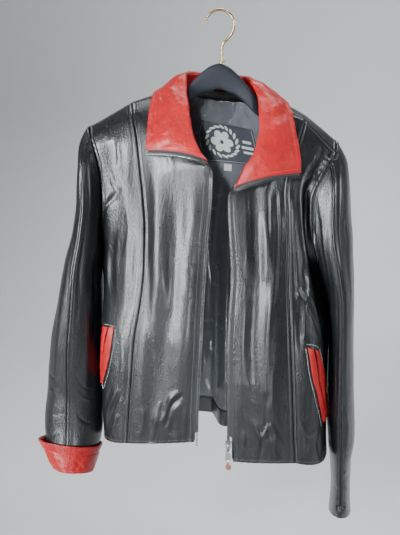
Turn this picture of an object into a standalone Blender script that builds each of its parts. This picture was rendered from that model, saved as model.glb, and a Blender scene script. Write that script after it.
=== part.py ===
"""A leather jacket hanging open on a moulded hanger.

The jacket is cut and sewn from panels. Each panel is a thin wall lofted through the rows of a short
table of body measurements. All tables are in millimetres, with the jacket hanging straight: the
origin is inside the top of the hook, Z is up, the front faces -Y and +X is the wearer's left.
The whole jacket and the hanger's body then lean a few degrees, which hang() adds at the end.
"""
import math

import bmesh
import bpy
import numpy as np

MM = 0.001
COLLECTION_NAME = "leather_jacket"

# --- driving sizes, in millimetres -------------------------------------------------------------
LEATHER = 1.4            # thickness of a leather wall
SATIN = 1.0              # thickness of the lining's wall
SEAM_GAP = 1.0           # between two pieces that a seam joins, at their outer faces
CORNER_GAP = 1.1         # the same where the seam also turns a corner, which closes it inside
SLEEVE_GAP = 1.5         # at the sleeve seams, which lie on its sharp folds
NECK_GAP = 1.6           # between the collar's lower layer and the panels round the neck
COLLAR_END_GAP = 4.0     # further gap at the collar's ends
LINING_GAP = 1.0         # between the leather and the lining
FOLD_EASE = 1.6          # further gap between them over the back's fold
HEM_FACING = 30          # height of the leather facing inside the hem
LEAN = 0.054             # the hanger's lean: how far Z drops for each millimetre along X
CHAIN_WIDTH = 4.6
CHAIN_THICKNESS = 2.6
TAPE_THICKNESS = 1.0
PIECE_GAP = 0.75         # between the zip's tape and the leather
WELT_LIFT = 0.85         # between a pocket's lip and the panel it lies on
LABEL_LIFT = 0.9         # between a label and the lining
HOOK_WIRE = 3.8
HOOK_RADIUS = 21.5       # from the hook's centre to the middle of its wire
BOSS_RADIUS = 4.3        # the hook's boss on the hanger
PLASTIC_GAP = 0.4        # between the jacket and the hanger inside it

# --- the fronts: a row for each section, from the zip edge over the princess seam to the side ---
# name, zip edge x y z, princess seam x y z, side seam or armhole x y z, chest bulge, side roundness
FRONT_RIGHT = [
    ("hem", -26, -98, -662, -137, -90, -684, -192, -22, -706, 3, 0.82),
    ("low", -25, -98, -620, -133, -90, -634, -192, -20, -645, 4, 0.92),
    ("pocket", -23, -97, -560, -127, -90, -566, -191, -18, -570, 5, 0.94),
    ("waist", -20, -96, -500, -121, -88, -500, -189, -17, -500, 6, 0.94),
    ("rib", -18, -93, -440, -111, -85, -440, -187, -14, -440, 7, 0.78),
    ("underarm", -15, -91, -385, -105, -81, -385, -189, -14, -387, 8, 0.65),
    ("bust", -12, -90, -325, -104, -75, -325, -183, -36, -340, 8, 0.45),
    ("chest", -7, -89, -270, -108, -66, -275, -177, -50, -285, 7, 0.35),
    ("break", -6, -86, -219, -115, -56, -222, -178, -49, -250, 4, 0.30),
    ("neck", -34, -75, -191, -121, -45, -185, -186, -45, -216, 1, 0.30),
    ("high", -57, -32, -141, -130, -29, -158, -194, -37, -198, 0, 0.30),
    ("shoulder", -67, 3, -119.5, -136, -8, -143, -202, -17, -184, 0, 0.00),
]
FRONT_LEFT = [
    ("hem", 40, -98, -688, 138, -90, -681, 187, -22, -697, 3, 0.84),
    ("low", 39, -98, -640, 134, -90, -634, 184, -19, -640, 4, 0.92),
    ("pocket", 38, -98, -570, 130, -90, -560, 182, -16, -565, 5, 0.94),
    ("waist", 37, -97, -500, 126, -89, -500, 181, -14, -500, 6, 0.94),
    ("rib", 38, -94, -440, 122, -87, -440, 178, -14, -440, 7, 0.75),
    ("underarm", 40, -91, -387, 118, -82, -385, 170, -14, -387, 8, 0.65),
    ("bust", 37, -90, -325, 114, -76, -320, 158, -40, -345, 7, 0.45),
    ("chest", 34, -89, -285, 111, -70, -275, 150, -52, -292, 6, 0.35),
    ("break", 33, -87, -252, 109, -62, -248, 149, -51, -262, 4, 0.30),
    ("neck", 66, -78, -215, 113, -50, -212, 157, -48, -234, 1, 0.30),
    ("high", 81, -42, -163, 124, -36, -176, 172, -40, -205, 0, 0.30),
    ("shoulder", 69, -8, -125.5, 131, -20, -148, 179, -30, -190, 0, 0.00),
]

# --- the back: a row for each section, up to the shoulder blades --------------------------------
# name, right side x y z, left side x y z, centre y z, depth of the centre fold
BACK = [
    ("hem", -192, -22, -706, 187, -22, -697, 52, -681, 46),
    ("low", -192, -20, -645, 184, -19, -640, 53, -632, 44),
    ("pocket", -191, -18, -570, 182, -16, -565, 54, -566, 42),
    ("waist", -189, -17, -500, 181, -14, -500, 55, -500, 40),
    ("rib", -187, -14, -440, 178, -14, -440, 57, -440, 34),
    ("underarm", -189, -14, -387, 170, -14, -387, 58, -387, 24),
    ("blade", -186, 18, -350, 168, 18, -350, 60, -338, 14),
    ("upper", -182, 42, -298, 174, 42, -300, 61, -280, 6),
    ("yoke", -181, 45, -242, 176, 44, -245, 59, -222, 0),
]
# The back's last rows run over the shoulders: a column for each place from shoulder to shoulder.
# name, x, behind y z, ridge y z, seam y z
SHOULDERS = [
    ("right tip", -202, 16, -193, -8, -183, -16, -183.6),
    ("right shoulder", -168, 24, -171, 1, -161.5, -11, -162.3),
    ("right princess", -136, 28, -151, 4, -142, -7, -142.5),
    ("right mid", -100, 32, -136, 7, -127, -1, -127.5),
    ("right neck", -67, 40, -129, 12, -120, 4, -119.7),
    ("right nape", -40, 46, -134, 38, -122, 36.5, -120),
    ("nape", 0, 50, -137, 43, -125, 41.5, -122),
    ("left nape", 40, 46, -136, 38, -123, 36.5, -121),
    ("left neck", 69, 38, -132, 9, -122, -7, -125),
    ("left mid", 100, 30, -138, 2, -128, -14, -133.3),
    ("left princess", 131, 26, -153, -1, -143, -19, -147.4),
    ("left shoulder", 157, 22, -171, -4, -160, -25, -167),
    ("left tip", 180, 16, -194, -7, -178, -29, -189.2),
]
BACK_FOLD_X = 12         # centre of the fold that bulges forward between the fronts
BACK_FOLD_WIDTH = 30     # half its width
# height above the hem, along the cloth, of each row of BACK, then of the three rows of SHOULDERS
BACK_HEIGHTS = [0, 55, 120, 186, 246, 300, 345, 400, 455, 535, 565, 580]
CENTRE_FLATNESS = 0.78   # how far the flat of the back reaches towards its sides

# --- the sleeves: a row for each section --------------------------------------------------------
# z, centre x y, half width, half depth, pitch: how far the section's front rises per millimetre
SLEEVE_RIGHT = [
    (-184, -202, -10, 11, 32, 0.00),
    (-206, -202, -13, 14, 48, 0.00),
    (-240, -199, -14, 18, 60, 0.00),
    (-285, -199, -14, 21, 66, 0.00),
    (-340, -206, -14, 23, 66, 0.00),
    (-400, -219, -15, 28, 64, 0.00),
    (-463, -227, -17, 34, 60, 0.02),
    (-541, -237, -17, 42, 56, 0.06),
    (-624, -243, -17, 47, 49, 0.14),
    (-690, -246, -27, 50.5, 42, 0.24),
    (-730, -246.5, -38, 46, 38, 0.28),
    (-768, -243.5, -50, 33, 35, 0.28),
]
SLEEVE_LEFT = [
    (-178, 178, -12, 7, 28, 0.00),
    (-205, 181, -10, 16, 46, 0.00),
    (-234, 179, -8, 22.5, 58, 0.00),
    (-280, 178, -6, 28, 64, 0.00),
    (-322, 181.5, -5, 30, 67, 0.00),
    (-368, 191.5, -3, 23, 68, 0.00),
    (-416, 199, 0, 19.5, 68, 0.00),
    (-480, 202.5, 4, 18.5, 67, 0.00),
    (-583, 206, 8, 21, 64, 0.04),
    (-672, 210, 11, 23, 60, 0.10),
    (-723, 211, 12, 17.5, 58, 0.18),
    (-760, 213, 12, 16.5, 56, 0.24),
    (-818, 214.5, 12, 19, 52, 0.29),
]
# Where on the sleeve's section each armhole point leads, in degrees from the front seam outwards
ARMHOLE_ANGLES_FRONT = {"underarm": -90, "bust": -60, "chest": -38, "break": -25, "neck": -12,
                        "high": 4, "shoulder": 62}
ARMHOLE_ANGLES_BACK = {"tip": 92, "behind": 132, "yoke": 172, "upper": 205, "blade": 240}
ARMHOLE_EASE = 1.6       # the sleeve starts this far outside the armhole

# --- the collar: a station for each place from the right end round the neck to the left end -----
# name, neck seam x y z, fold x y z, outer edge x y z, roll: how far the leaf bulges
COLLAR = [
    ("right end", -10, -86, -213, -3, -92, -210, -100, -70, -204, 5),
    ("right front", -33, -77, -188, -20, -81, -191, -101.5, -63, -187, 5),
    ("right chest", -48, -54, -161, -33, -60, -165, -101.5, -50, -166, 5),
    ("right throat", -58, -31, -136, -41, -36, -135, -101.5, -32, -143.5, 5),
    ("right side front", -64, -11, -119, -48, -12, -113, -102, -7, -126, 5),
    ("right side", -65, 5, -114, -51, 6, -96, -93, 24, -121, 6),
    ("right back", -50, 29, -115, -40, 26, -93, -72, 59, -146, 6),
    ("right nape", -25, 41, -116, -20, 36, -93, -38, 68, -162, 6),
    ("nape", 0, 44, -117, 0, 38.5, -94, 0, 71, -166, 6),
    ("left nape", 27, 41, -117, 22, 36, -94, 42, 68, -164, 6),
    ("left back", 52, 29, -116, 39, 26, -96, 78, 59, -148, 6),
    ("left side", 66, 4, -117, 46, 6, -100, 98, 20, -124, 6),
    ("left side front", 72, -12, -126, 56, -7, -115, 107, -9, -128, 5),
    ("left throat", 81, -31, -147, 64, -34, -141, 116, -30, -151, 5),
    ("left chest", 83, -50, -167, 66, -53, -163, 121, -44, -167, 5),
    ("left bust", 77, -69, -194, 60, -73, -195, 126, -57, -185, 5),
    ("left front", 66, -80, -212, 48, -84, -216, 129.5, -67, -203, 5),
    ("left end", 42, -89, -245, 34, -92, -246, 130, -73, -218, 5),
]
FOLD_RADIUS = 5.0        # the collar's rounded fold
END_ARCH = 6.0           # how far each zip end of the leaf arches up between fold and corner
UNDER_GAP = 0.4          # between the collar's two leathers


def easy_slopes(knots, values):
    """Slopes at the knots that never let the curve swing past its values."""
    wide = (slice(None),) + (None,) * (values.ndim - 1)
    chords = np.diff(values, axis=0) / np.diff(knots)[wide]
    before, after = chords[:-1], chords[1:]
    same_way = before * after > 0
    total = np.where(same_way, before + after, 1.0)
    inner = np.where(same_way, 2 * before * after / total, 0.0)
    return np.concatenate([chords[:1], inner, chords[-1:]])


def smooth_through(knots, values, at):
    """A smooth curve through values at knots, read at the places at."""
    knots = np.asarray(knots, float)
    values = np.asarray(values, float)
    at = np.asarray(at, float)
    slopes = easy_slopes(knots, values)
    low = np.clip(np.searchsorted(knots, at, side="right") - 1, 0, len(knots) - 2)
    span = knots[low + 1] - knots[low]
    part = (at - knots[low]) / span
    shape = part.shape + (1,) * (values.ndim - 1)
    s = part.reshape(shape)
    h = span.reshape(shape)
    start, end = values[low], values[low + 1]
    return ((2 * s ** 3 - 3 * s ** 2 + 1) * start + (s ** 3 - 2 * s ** 2 + s) * h * slopes[low]
            + (3 * s ** 2 - 2 * s ** 3) * end + (s ** 3 - s ** 2) * h * slopes[low + 1])


def lengths_along(points):
    """The distance along a line of points, from 0 to 1."""
    steps = np.linalg.norm(np.diff(np.asarray(points, float), axis=0), axis=1)
    travelled = np.concatenate([[0.0], np.cumsum(steps)])
    return travelled / travelled[-1]


def normals_of(points):
    """Unit normals of a grid of points, with the sense of its first axis crossed with its second."""
    along = np.gradient(points, axis=0)
    up = np.gradient(points, axis=1)
    across = np.cross(along, up)
    return across / np.maximum(np.linalg.norm(across, axis=2, keepdims=True), 1e-9)


def outward_normals(points, inside):
    """Unit normals of a grid of points that point away from the line of points called inside."""
    normals = normals_of(points)
    return normals * np.sign(np.sum(normals * (points - inside)))


def front_surface(rows, piece, u, v):
    """Points of a front's centre or side panel: u from the front edge outwards, v from the hem up."""
    table = np.array([row[1:] for row in rows], float)
    knots = lengths_along(table[:, 3:6])
    section = smooth_through(knots, table, v)
    edge, princess, flank = section[:, 0:3], section[:, 3:6], section[:, 6:9]
    bulge, roundness = section[:, 9], section[:, 10]
    u = u[:, None, None]
    if piece == "centre":
        points = edge * (1 - u) + princess * u
        points[..., 1] -= (4 * u[..., 0] * (1 - u[..., 0])) * bulge
        return points
    middle = (princess + flank) / 2
    corner = np.stack([flank[:, 0], princess[:, 1], middle[:, 2]], axis=1)
    handle = middle + (corner - middle) * roundness[:, None]
    return princess * (1 - u) ** 2 + 2 * handle * u * (1 - u) + flank * u ** 2


def back_level(row, u):
    """One level section of the back, from the right side seam (u = 0) to the left (u = 1)."""
    right, left = np.array(row[1:4], float), np.array(row[4:7], float)
    centre_y, centre_z, fold_depth = row[7:10]
    centre = np.array([(right[0] + left[0]) / 2, centre_y, centre_z])
    points = np.empty((len(u), 3))
    for index, place in enumerate(u):
        side, s = (right, place * 2) if place <= 0.5 else (left, (1 - place) * 2)
        rise = np.array([side[0], side[1] + 0.85 * (centre_y - side[1]), side[2]])
        flat = np.array([side[0] + (centre[0] - side[0]) * (1 - CENTRE_FLATNESS), centre_y, centre_z])
        points[index] = (side * (1 - s) ** 3 + 3 * rise * s * (1 - s) ** 2
                         + 3 * flat * s ** 2 * (1 - s) + centre * s ** 3)
    reach = np.clip(np.abs(points[:, 0] - BACK_FOLD_X) / BACK_FOLD_WIDTH, 0, 1)
    points[:, 1] -= fold_depth * (0.5 + 0.5 * np.cos(math.pi * reach))
    return points


def back_surface(u, v):
    """Points of the back: u from the right side seam to the left, v from the hem over the shoulder."""
    level_rows = [back_level(row, u) for row in BACK]
    shoulders = np.array([row[1:] for row in SHOULDERS], float)
    places = lengths_along(shoulders[:, [0, 5, 6]])
    top = smooth_through(places, shoulders, u)
    behind, ridge, seam = top[:, [0, 1, 2]], top[:, [0, 3, 4]], top[:, [0, 5, 6]]
    rows = np.array(level_rows + [behind, ridge, seam])
    heights = np.array(BACK_HEIGHTS, float)
    return smooth_through(heights / heights[-1], rows, v).transpose(1, 0, 2)


def armhole_loop(rows, side):
    """The armhole as (angles, points): from the underarm up the front, over, and down the back."""
    shoulder = SHOULDERS[0] if side < 0 else SHOULDERS[-1]
    columns = slice(1, 4) if side < 0 else slice(4, 7)
    loop = [(ARMHOLE_ANGLES_FRONT[row[0]], row[7:10]) for row in rows if row[0] in ARMHOLE_ANGLES_FRONT]
    loop.append((ARMHOLE_ANGLES_BACK["tip"], (shoulder[1], shoulder[4], shoulder[5])))
    loop.append((ARMHOLE_ANGLES_BACK["behind"], (shoulder[1], shoulder[2], shoulder[3])))
    for row in reversed(BACK):
        if row[0] in ARMHOLE_ANGLES_BACK:
            loop.append((ARMHOLE_ANGLES_BACK[row[0]], row[columns]))
    loop.append((loop[0][0] + 360, loop[0][1]))
    angles = np.array([angle for angle, point in loop], float)
    points = np.array([point for angle, point in loop], float)
    return angles, points


def sleeve_surface(rows, sections, side, angles, t):
    """Points of a sleeve: angles round it from the front seam outwards, t from armhole to cuff."""
    loop_angles, loop_points = armhole_loop(rows, side)
    wrapped = (angles - loop_angles[0]) % 360 + loop_angles[0]
    head = smooth_through(loop_angles, loop_points, wrapped)
    head[:, 0] += side * ARMHOLE_EASE
    table = np.array(sections, float)
    radians = np.radians(angles)
    outwards, forwards = np.sin(radians), np.cos(radians)
    points = np.empty((len(angles), len(t), 3))
    settle = 9 + 31 * (1 - outwards) / 2
    for index, place in enumerate(t):
        z = head[:, 2] * (1 - place) + table[-1, 0] * place
        section = smooth_through(-table[:, 0], table, np.maximum(-z, -table[0, 0]))
        x = section[:, 1] + side * section[:, 3] * outwards
        y = section[:, 2] - section[:, 4] * forwards
        hold = np.exp(-(head[:, 2] - z) / settle)
        points[:, index, 0] = head[:, 0] * hold + x * (1 - hold)
        points[:, index, 1] = head[:, 1] * hold + y * (1 - hold)
        points[:, index, 2] = z + section[:, 5] * section[:, 4] * forwards
    return points


def collar_frames(s):
    """At places s round the neck: the neck seam, the fold, the leaf's edge and roll, and two directions."""
    table = np.array([row[1:] for row in COLLAR], float)
    stations = smooth_through(lengths_along(table[:, 3:6]), table, s)
    neck, fold, edge, roll = stations[:, 0:3], stations[:, 3:6], stations[:, 6:9], stations[:, 9:10]
    leaf = edge - fold
    proud = np.cross(np.gradient(fold, axis=0), leaf)
    proud /= np.linalg.norm(proud, axis=1, keepdims=True)
    outwards = leaf / np.linalg.norm(leaf, axis=1, keepdims=True)
    return neck - proud * (FOLD_RADIUS - 0.5), fold, edge, roll, proud, outwards


def collar_surface(s, t):
    """The collar's upper face: s round the neck, t from the neck seam over the fold to the edge."""
    neck, fold, edge, roll, proud, outwards = collar_frames(s)
    leaf = edge - fold
    turn = fold + outwards * FOLD_RADIUS
    bend = 0.7 * FOLD_RADIUS
    profile = np.array([neck, (neck + turn - proud * FOLD_RADIUS) / 2, turn - proud * FOLD_RADIUS,
                        turn - proud * bend - outwards * bend, fold,
                        turn + proud * bend - outwards * bend, turn + proud * FOLD_RADIUS,
                        fold + leaf * 0.35 + proud * (roll + 1.5), fold + leaf * 0.7 + proud * roll * 0.7,
                        edge])
    places = np.array([0, 0.09, 0.18, 0.215, 0.25, 0.285, 0.32, 0.52, 0.77, 1.0])
    points = smooth_through(places, profile, t).transpose(1, 0, 2)
    near_end = np.exp(-np.minimum(s, 1 - s) / 0.06)
    arch = np.sin(math.pi * np.clip((t - 0.25) / 0.75, 0, 1) ** 0.75)
    points[..., 2] += END_ARCH * near_end[:, None] * arch
    return points


def nearest_on(line, points):
    """For each point, the nearest point of a finely sampled line."""
    distances = np.linalg.norm(points[:, None, :] - line[None, :, :], axis=2)
    return line[np.argmin(distances, axis=1)]


NECK_SEAM = collar_frames(np.linspace(0, 1, 801))[0]


def fit_edge(points, neighbours, line, gap):
    """Moves a row of edge points onto a line, then back by gap the way their neighbours lie."""
    back = neighbours - points
    return nearest_on(line, points) + back / np.linalg.norm(back, axis=1, keepdims=True) * gap


def front_centre(rows, u, v):
    """The centre front, its top edge fitted to the collar's neck seam."""
    points = front_surface(rows, "centre", u, v)
    fitted = front_surface(rows, "centre", np.array([0.0, 0.05]), v)
    edge, inner = fitted[0], fitted[1]
    names = [row[0] for row in rows]
    knots = lengths_along([row[4:7] for row in rows])
    start = knots[names.index("break")]
    part = np.clip((v - start) / (0.3 * (knots[names.index("neck")] - start)), 0, 1)[:, None]
    near_end = np.clip(1 - (v - start) / (knots[names.index("neck")] - start), 0, 1)[:, None]
    shift = (fit_edge(edge, inner, NECK_SEAM, NECK_GAP + COLLAR_END_GAP * near_end) - edge) * part
    return points + shift[None] * ((1 - u) ** 2)[:, None, None]


def shoulder_line():
    """The line that the back's top edge is sewn to: shoulder seam, neck seam, shoulder seam."""
    along = np.linspace(0, 1, 60)
    top = np.array([1.0])
    right = [front_surface(FRONT_RIGHT, piece, along, top)[:, 0] for piece in ("side", "centre")]
    left = [front_surface(FRONT_LEFT, piece, along, top)[:, 0] for piece in ("centre", "side")]
    right_end, left_end = right[1][0], left[0][0]
    first = np.argmin(np.linalg.norm(NECK_SEAM - right_end, axis=1))
    last = np.argmin(np.linalg.norm(NECK_SEAM - left_end, axis=1))
    return np.concatenate([right[0][::-1], right[1][::-1], NECK_SEAM[first:last], left[0], left[1]])


def back_panel(u, v):
    """The back, its top edge fitted to the shoulder seams and the neck seam."""
    points = back_surface(u, v)
    ends = back_surface(u, np.array([0.985, 1.0]))
    shift = fit_edge(ends[:, 1], ends[:, 0], shoulder_line(), NECK_GAP) - ends[:, 1]
    near_top = np.clip((v - 0.93) / 0.07, 0, 1)
    return points + shift[:, None, :] * near_top[None, :, None]


# --- folds: soft ridges (+) and troughs (-) of the cloth, a row for each ------------------------
# piece, u at the lower end, u at the upper end, v from, v to, half width in u, height
FOLDS = [
    ("front_centre_right", 0.50, 0.46, 0.10, 0.80, 0.16, -5.0),
    ("front_centre_right", 0.16, 0.20, 0.05, 0.62, 0.13, 2.5),
    ("front_centre_right", 0.80, 0.76, 0.05, 0.95, 0.13, 3.0),
    ("front_side_right", 0.42, 0.50, 0.30, 0.90, 0.22, -5.0),
    ("front_side_right", 0.22, 0.20, 0.35, 0.90, 0.16, 2.0),
    ("front_centre_left", 0.62, 0.60, 0.55, 0.92, 0.12, 4.0),
    ("front_centre_left", 0.30, 0.40, 0.25, 0.85, 0.18, -5.0),
    ("front_centre_left", 0.55, 0.75, 0.02, 0.50, 0.16, 3.5),
    ("front_side_left", 0.78, 0.70, 0.42, 0.98, 0.20, -11.0),
    ("front_side_left", 0.30, 0.35, 0.20, 0.70, 0.20, 3.0),
    ("back", 0.14, 0.17, 0.02, 0.72, 0.045, 4.0),
    ("back", 0.28, 0.27, 0.02, 0.80, 0.050, -4.0),
    ("back", 0.74, 0.72, 0.02, 0.78, 0.050, -4.0),
    ("back", 0.87, 0.84, 0.02, 0.70, 0.045, 4.0),
]


def fold_heights(piece, u, v):
    """How far the folds of a piece lift its surface at each place of a grid."""
    lift = np.zeros((len(u), len(v)))
    for name, u_low, u_high, v_from, v_to, width, height in FOLDS:
        if name != piece:
            continue
        along = np.clip((v - v_from) / (v_to - v_from), 0, 1)
        fade = np.sin(math.pi * along) ** 0.7
        centre = u_low + (u_high - u_low) * along
        lift += height * fade[None, :] * np.exp(-((u[:, None] - centre[None, :]) / width) ** 2)
    return lift


def opened(edge, neighbours, gap):
    """A row of edge points moved towards their neighbours, square to the edge, by gap."""
    along = np.gradient(edge, axis=0)
    along /= np.maximum(np.linalg.norm(along, axis=1, keepdims=True), 1e-9)
    step = neighbours - edge
    step -= along * np.sum(step * along, axis=1, keepdims=True)
    return edge + step / np.linalg.norm(step, axis=1, keepdims=True) * gap


def pulled_in(points, gap, start=True, end=True, axis=0):
    """The grid with its first and last lines moved in by gap, so that a seam is left open there."""
    moved = np.array(points, float) if axis == 0 else np.array(points, float).transpose(1, 0, 2)
    if start:
        moved[0] = opened(moved[0], moved[1], gap)
    if end:
        moved[-1] = opened(moved[-1], moved[-2], gap)
    return moved if axis == 0 else moved.transpose(1, 0, 2)


def with_folds(points, piece, u, v, inside):
    """The grid with the piece's folds raised and sunk."""
    return points + outward_normals(points, inside) * fold_heights(piece, u, v)[..., None]


# --- building the solids ------------------------------------------------------------------------

def hang(points):
    """The jacket's lean on its hook: Z drops along +X."""
    leaned = np.array(points, float)
    leaned[..., 2] -= LEAN * leaned[..., 0]
    return leaned


def make_material(name, colour, roughness, metallic=0.0):
    material = bpy.data.materials.new(name)
    material.use_nodes = True
    shader = material.node_tree.nodes["Principled BSDF"]
    shader.inputs["Base Color"].default_value = (*colour, 1.0)
    shader.inputs["Roughness"].default_value = roughness
    shader.inputs["Metallic"].default_value = metallic
    return material


def add_object(name, mesh, material, collection):
    """Puts a mesh into a collection as a smooth-shaded object."""
    mesh.materials.append(material)
    mesh.shade_smooth()
    mesh.set_sharp_from_angle(angle=math.radians(50))
    thing = bpy.data.objects.new(name, mesh)
    collection.objects.link(thing)
    return thing


def sheet_faces(count_u, count_v, closed, flipped):
    """Quads of a grid; closed joins its last column to its first."""
    faces = []
    for i in range(count_u if closed else count_u - 1):
        for j in range(count_v - 1):
            following = (i + 1) % count_u
            quad = (i * count_v + j, following * count_v + j,
                    following * count_v + j + 1, i * count_v + j + 1)
            faces.append(quad[::-1] if flipped else quad)
    return faces


def wall(name, points, inside, thickness, material, closed=False):
    """A wall of cloth: an open surface of grid points, thickened towards the points called inside."""
    ring = np.concatenate([points, points[:1]]) if closed else points
    normals = normals_of(ring)[:len(points)]
    flipped = np.sum(normals * (points - inside)) < 0
    mesh = bpy.data.meshes.new(name)
    vertices = (hang(points) * MM).reshape(-1, 3).tolist()
    mesh.from_pydata(vertices, [], sheet_faces(points.shape[0], points.shape[1], closed, flipped))
    mesh.validate()
    thing = add_object(name, mesh, material, bpy.data.collections[COLLECTION_NAME])
    solidify = thing.modifiers.new("wall", "SOLIDIFY")
    solidify.thickness = thickness * MM
    solidify.offset = -1.0
    solidify.use_even_offset = True
    return thing


def body_axis(points):
    """Points inside the jacket's trunk, level with each point."""
    axis = np.array(points, float)
    axis[..., 0] *= 0.3
    axis[..., 1] = -18
    return axis


# --- trunk --------------------------------------------------------------------------------------

ROWS_UP = np.concatenate([np.linspace(0, 0.70, 12), [0.75, 0.79, 0.82, 0.845, 0.87, 0.90, 0.93, 0.965, 1.0]])
FRONTS = {"right": FRONT_RIGHT, "left": FRONT_LEFT}


def front_points(tag, piece, u, v):
    """A front's centre or side panel with its folds."""
    rows = FRONTS[tag]
    points = front_centre(rows, u, v) if piece == "centre" else front_surface(rows, "side", u, v)
    return with_folds(points, "front_%s_%s" % (piece, tag), u, v, body_axis(points))


def build_fronts(leather):
    for tag in FRONTS:
        for piece, count in (("centre", 8), ("side", 9)):
            points = front_points(tag, piece, np.linspace(0, 1, count), ROWS_UP)
            points = pulled_in(points, SEAM_GAP / 2, start=(piece == "side"))
            points = pulled_in(points, CORNER_GAP / 2, start=False, axis=1)
            wall("front_%s_%s" % (piece, tag), points, body_axis(points), LEATHER, leather)


def back_columns():
    """Columns of the back, closer together over its centre fold."""
    width = BACK[0][4] - BACK[0][1]
    fold = 0.5 + BACK_FOLD_X / width
    spread = 1.05 * BACK_FOLD_WIDTH / width
    return np.concatenate([[0, 0.012], np.linspace(0.05, fold - spread, 6)[:-1],
                           np.linspace(fold - spread, fold + spread, 13)[:-1],
                           np.linspace(fold + spread, 0.95, 6), [0.988, 1]])


BACK_ROWS_UP = np.concatenate([[0, HEM_FACING / BACK_HEIGHTS[-1]], np.linspace(0.115, 0.88, 12),
                               [0.92, 0.945, 0.965, 0.983, 1.0]])


def back_points(u, v):
    """The back with its folds."""
    points = back_panel(u, v)
    return with_folds(points, "back", u, v, body_axis(points))


def lining_points(u, v, depth):
    """The back's inner side: its own points moved in by depth, and a little more over the fold."""
    points = back_points(u, v)
    over_fold = np.exp(-((points[..., :1] - BACK_FOLD_X) / (0.7 * BACK_FOLD_WIDTH)) ** 2)
    return points - outward_normals(points, body_axis(points)) * (depth + FOLD_EASE * over_fold)


def build_back(leather, satin):
    u, v = back_columns(), BACK_ROWS_UP
    points = back_points(u, v)
    inner = lining_points(u, v, LEATHER + LINING_GAP)
    points = pulled_in(points, SEAM_GAP / 2)
    points = pulled_in(points, CORNER_GAP / 2, start=False, axis=1)
    wall("back", points, body_axis(points), LEATHER, leather)
    columns_inside = slice(1, len(u) - 1)
    top_row = int(np.searchsorted(v, 0.93))
    lining = pulled_in(inner[columns_inside, 1:top_row], SEAM_GAP / 2, end=False, axis=1)
    wall("lining_back", lining, body_axis(lining), SATIN, satin)
    facing = pulled_in(inner[columns_inside, 0:2], SEAM_GAP / 2, axis=1)
    wall("hem_facing_back", facing, body_axis(facing), SATIN, leather)
    return inner


# --- sleeves ------------------------------------------------------------------------------------

SLEEVES = {"right": (-1, FRONT_RIGHT, SLEEVE_RIGHT), "left": (1, FRONT_LEFT, SLEEVE_LEFT)}
UPPER_ANGLES = np.array([0, 5, 17, 38, 64, 90, 116, 142, 163, 175, 180.0])
ROWS_DOWN = np.concatenate([[0, 0.025, 0.06, 0.11], np.linspace(0.17, 1, 13)])


def sleeve_middle(tag, t):
    """Points on a sleeve's middle line."""
    side, rows, sections = SLEEVES[tag]
    return sleeve_surface(rows, sections, side, np.linspace(0, 330, 12), t).mean(axis=0)


def build_sleeves(leather):
    for tag, (side, rows, sections) in SLEEVES.items():
        middle = sleeve_middle(tag, ROWS_DOWN)
        for piece, angles in (("upper", UPPER_ANGLES), ("under", UPPER_ANGLES + 180)):
            points = sleeve_surface(rows, sections, side, angles, ROWS_DOWN)
            points = pulled_in(points, SLEEVE_GAP / 2)
            inside = np.broadcast_to(middle, points.shape)
            wall("sleeve_%s_%s" % (piece, tag), points, inside, LEATHER, leather)


# The red cuffs: a row for each ring.
# height above the sleeve's end, how far the ring lies outside the sleeve, and further on its outer side
CUFF_RIGHT = [(0.6, 2.2, 0.0), (11, 2.6, 1.5), (23, 2.4, 3.5), (34, 3.0, 6.0), (44, 4.2, 9.0)]
CUFF_FACING_LEFT = [(2.0, -2.4, 0.0), (42, -2.4, 0.0)]


def cuff_points(tag, rings, angles):
    """Rings round a sleeve's end, larger or smaller than its own sections."""
    side, rows, sections = SLEEVES[tag]
    rings = np.array(rings, float)
    heads = sleeve_surface(rows, sections, side, angles, np.array([0.0]))[:, 0, 2]
    fall = heads - sections[-1][0]
    points = np.array([sleeve_surface(rows, sections, side, angles[k:k + 1], 1 - rings[:, 0] / fall[k])[0]
                       for k in range(len(angles))])
    middle = points.mean(axis=0)
    around = np.concatenate([points[-1:], points, points[:1]])
    normals = outward_normals(around, np.broadcast_to(middle, around.shape))[1:-1]
    outer = np.maximum(np.sin(np.radians(angles)), 0)[:, None] ** 2
    grown = points + normals * (rings[None, :, 1] + rings[None, :, 2] * outer)[..., None]
    return grown, middle


def build_cuffs(red):
    angles = np.linspace(0, 360, 21)[:-1]
    points, middle = cuff_points("right", CUFF_RIGHT, angles)
    wall("cuff_right", points, np.broadcast_to(middle, points.shape), LEATHER, red, closed=True)
    points, middle = cuff_points("left", CUFF_FACING_LEFT, angles)
    wall("cuff_facing_left", points, np.broadcast_to(middle, points.shape), SATIN, red, closed=True)


# --- collar -------------------------------------------------------------------------------------

def build_collar(red, leather):
    s = np.concatenate([[0.003], np.linspace(0.02, 0.98, 24), [0.997]])
    t = np.array([0, 0.09, 0.18, 0.215, 0.25, 0.285, 0.32, 0.375, 0.45, 0.57, 0.71, 0.86, 1.0])
    top = collar_surface(s, t)
    normals = normals_of(top)
    wall("collar_top", top, top - normals * 10, LEATHER, red)
    under = top - normals * (LEATHER + UNDER_GAP)
    wall("collar_under", under, top - normals * 10, LEATHER, leather)


# --- closed bars and plates ---------------------------------------------------------------------

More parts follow.
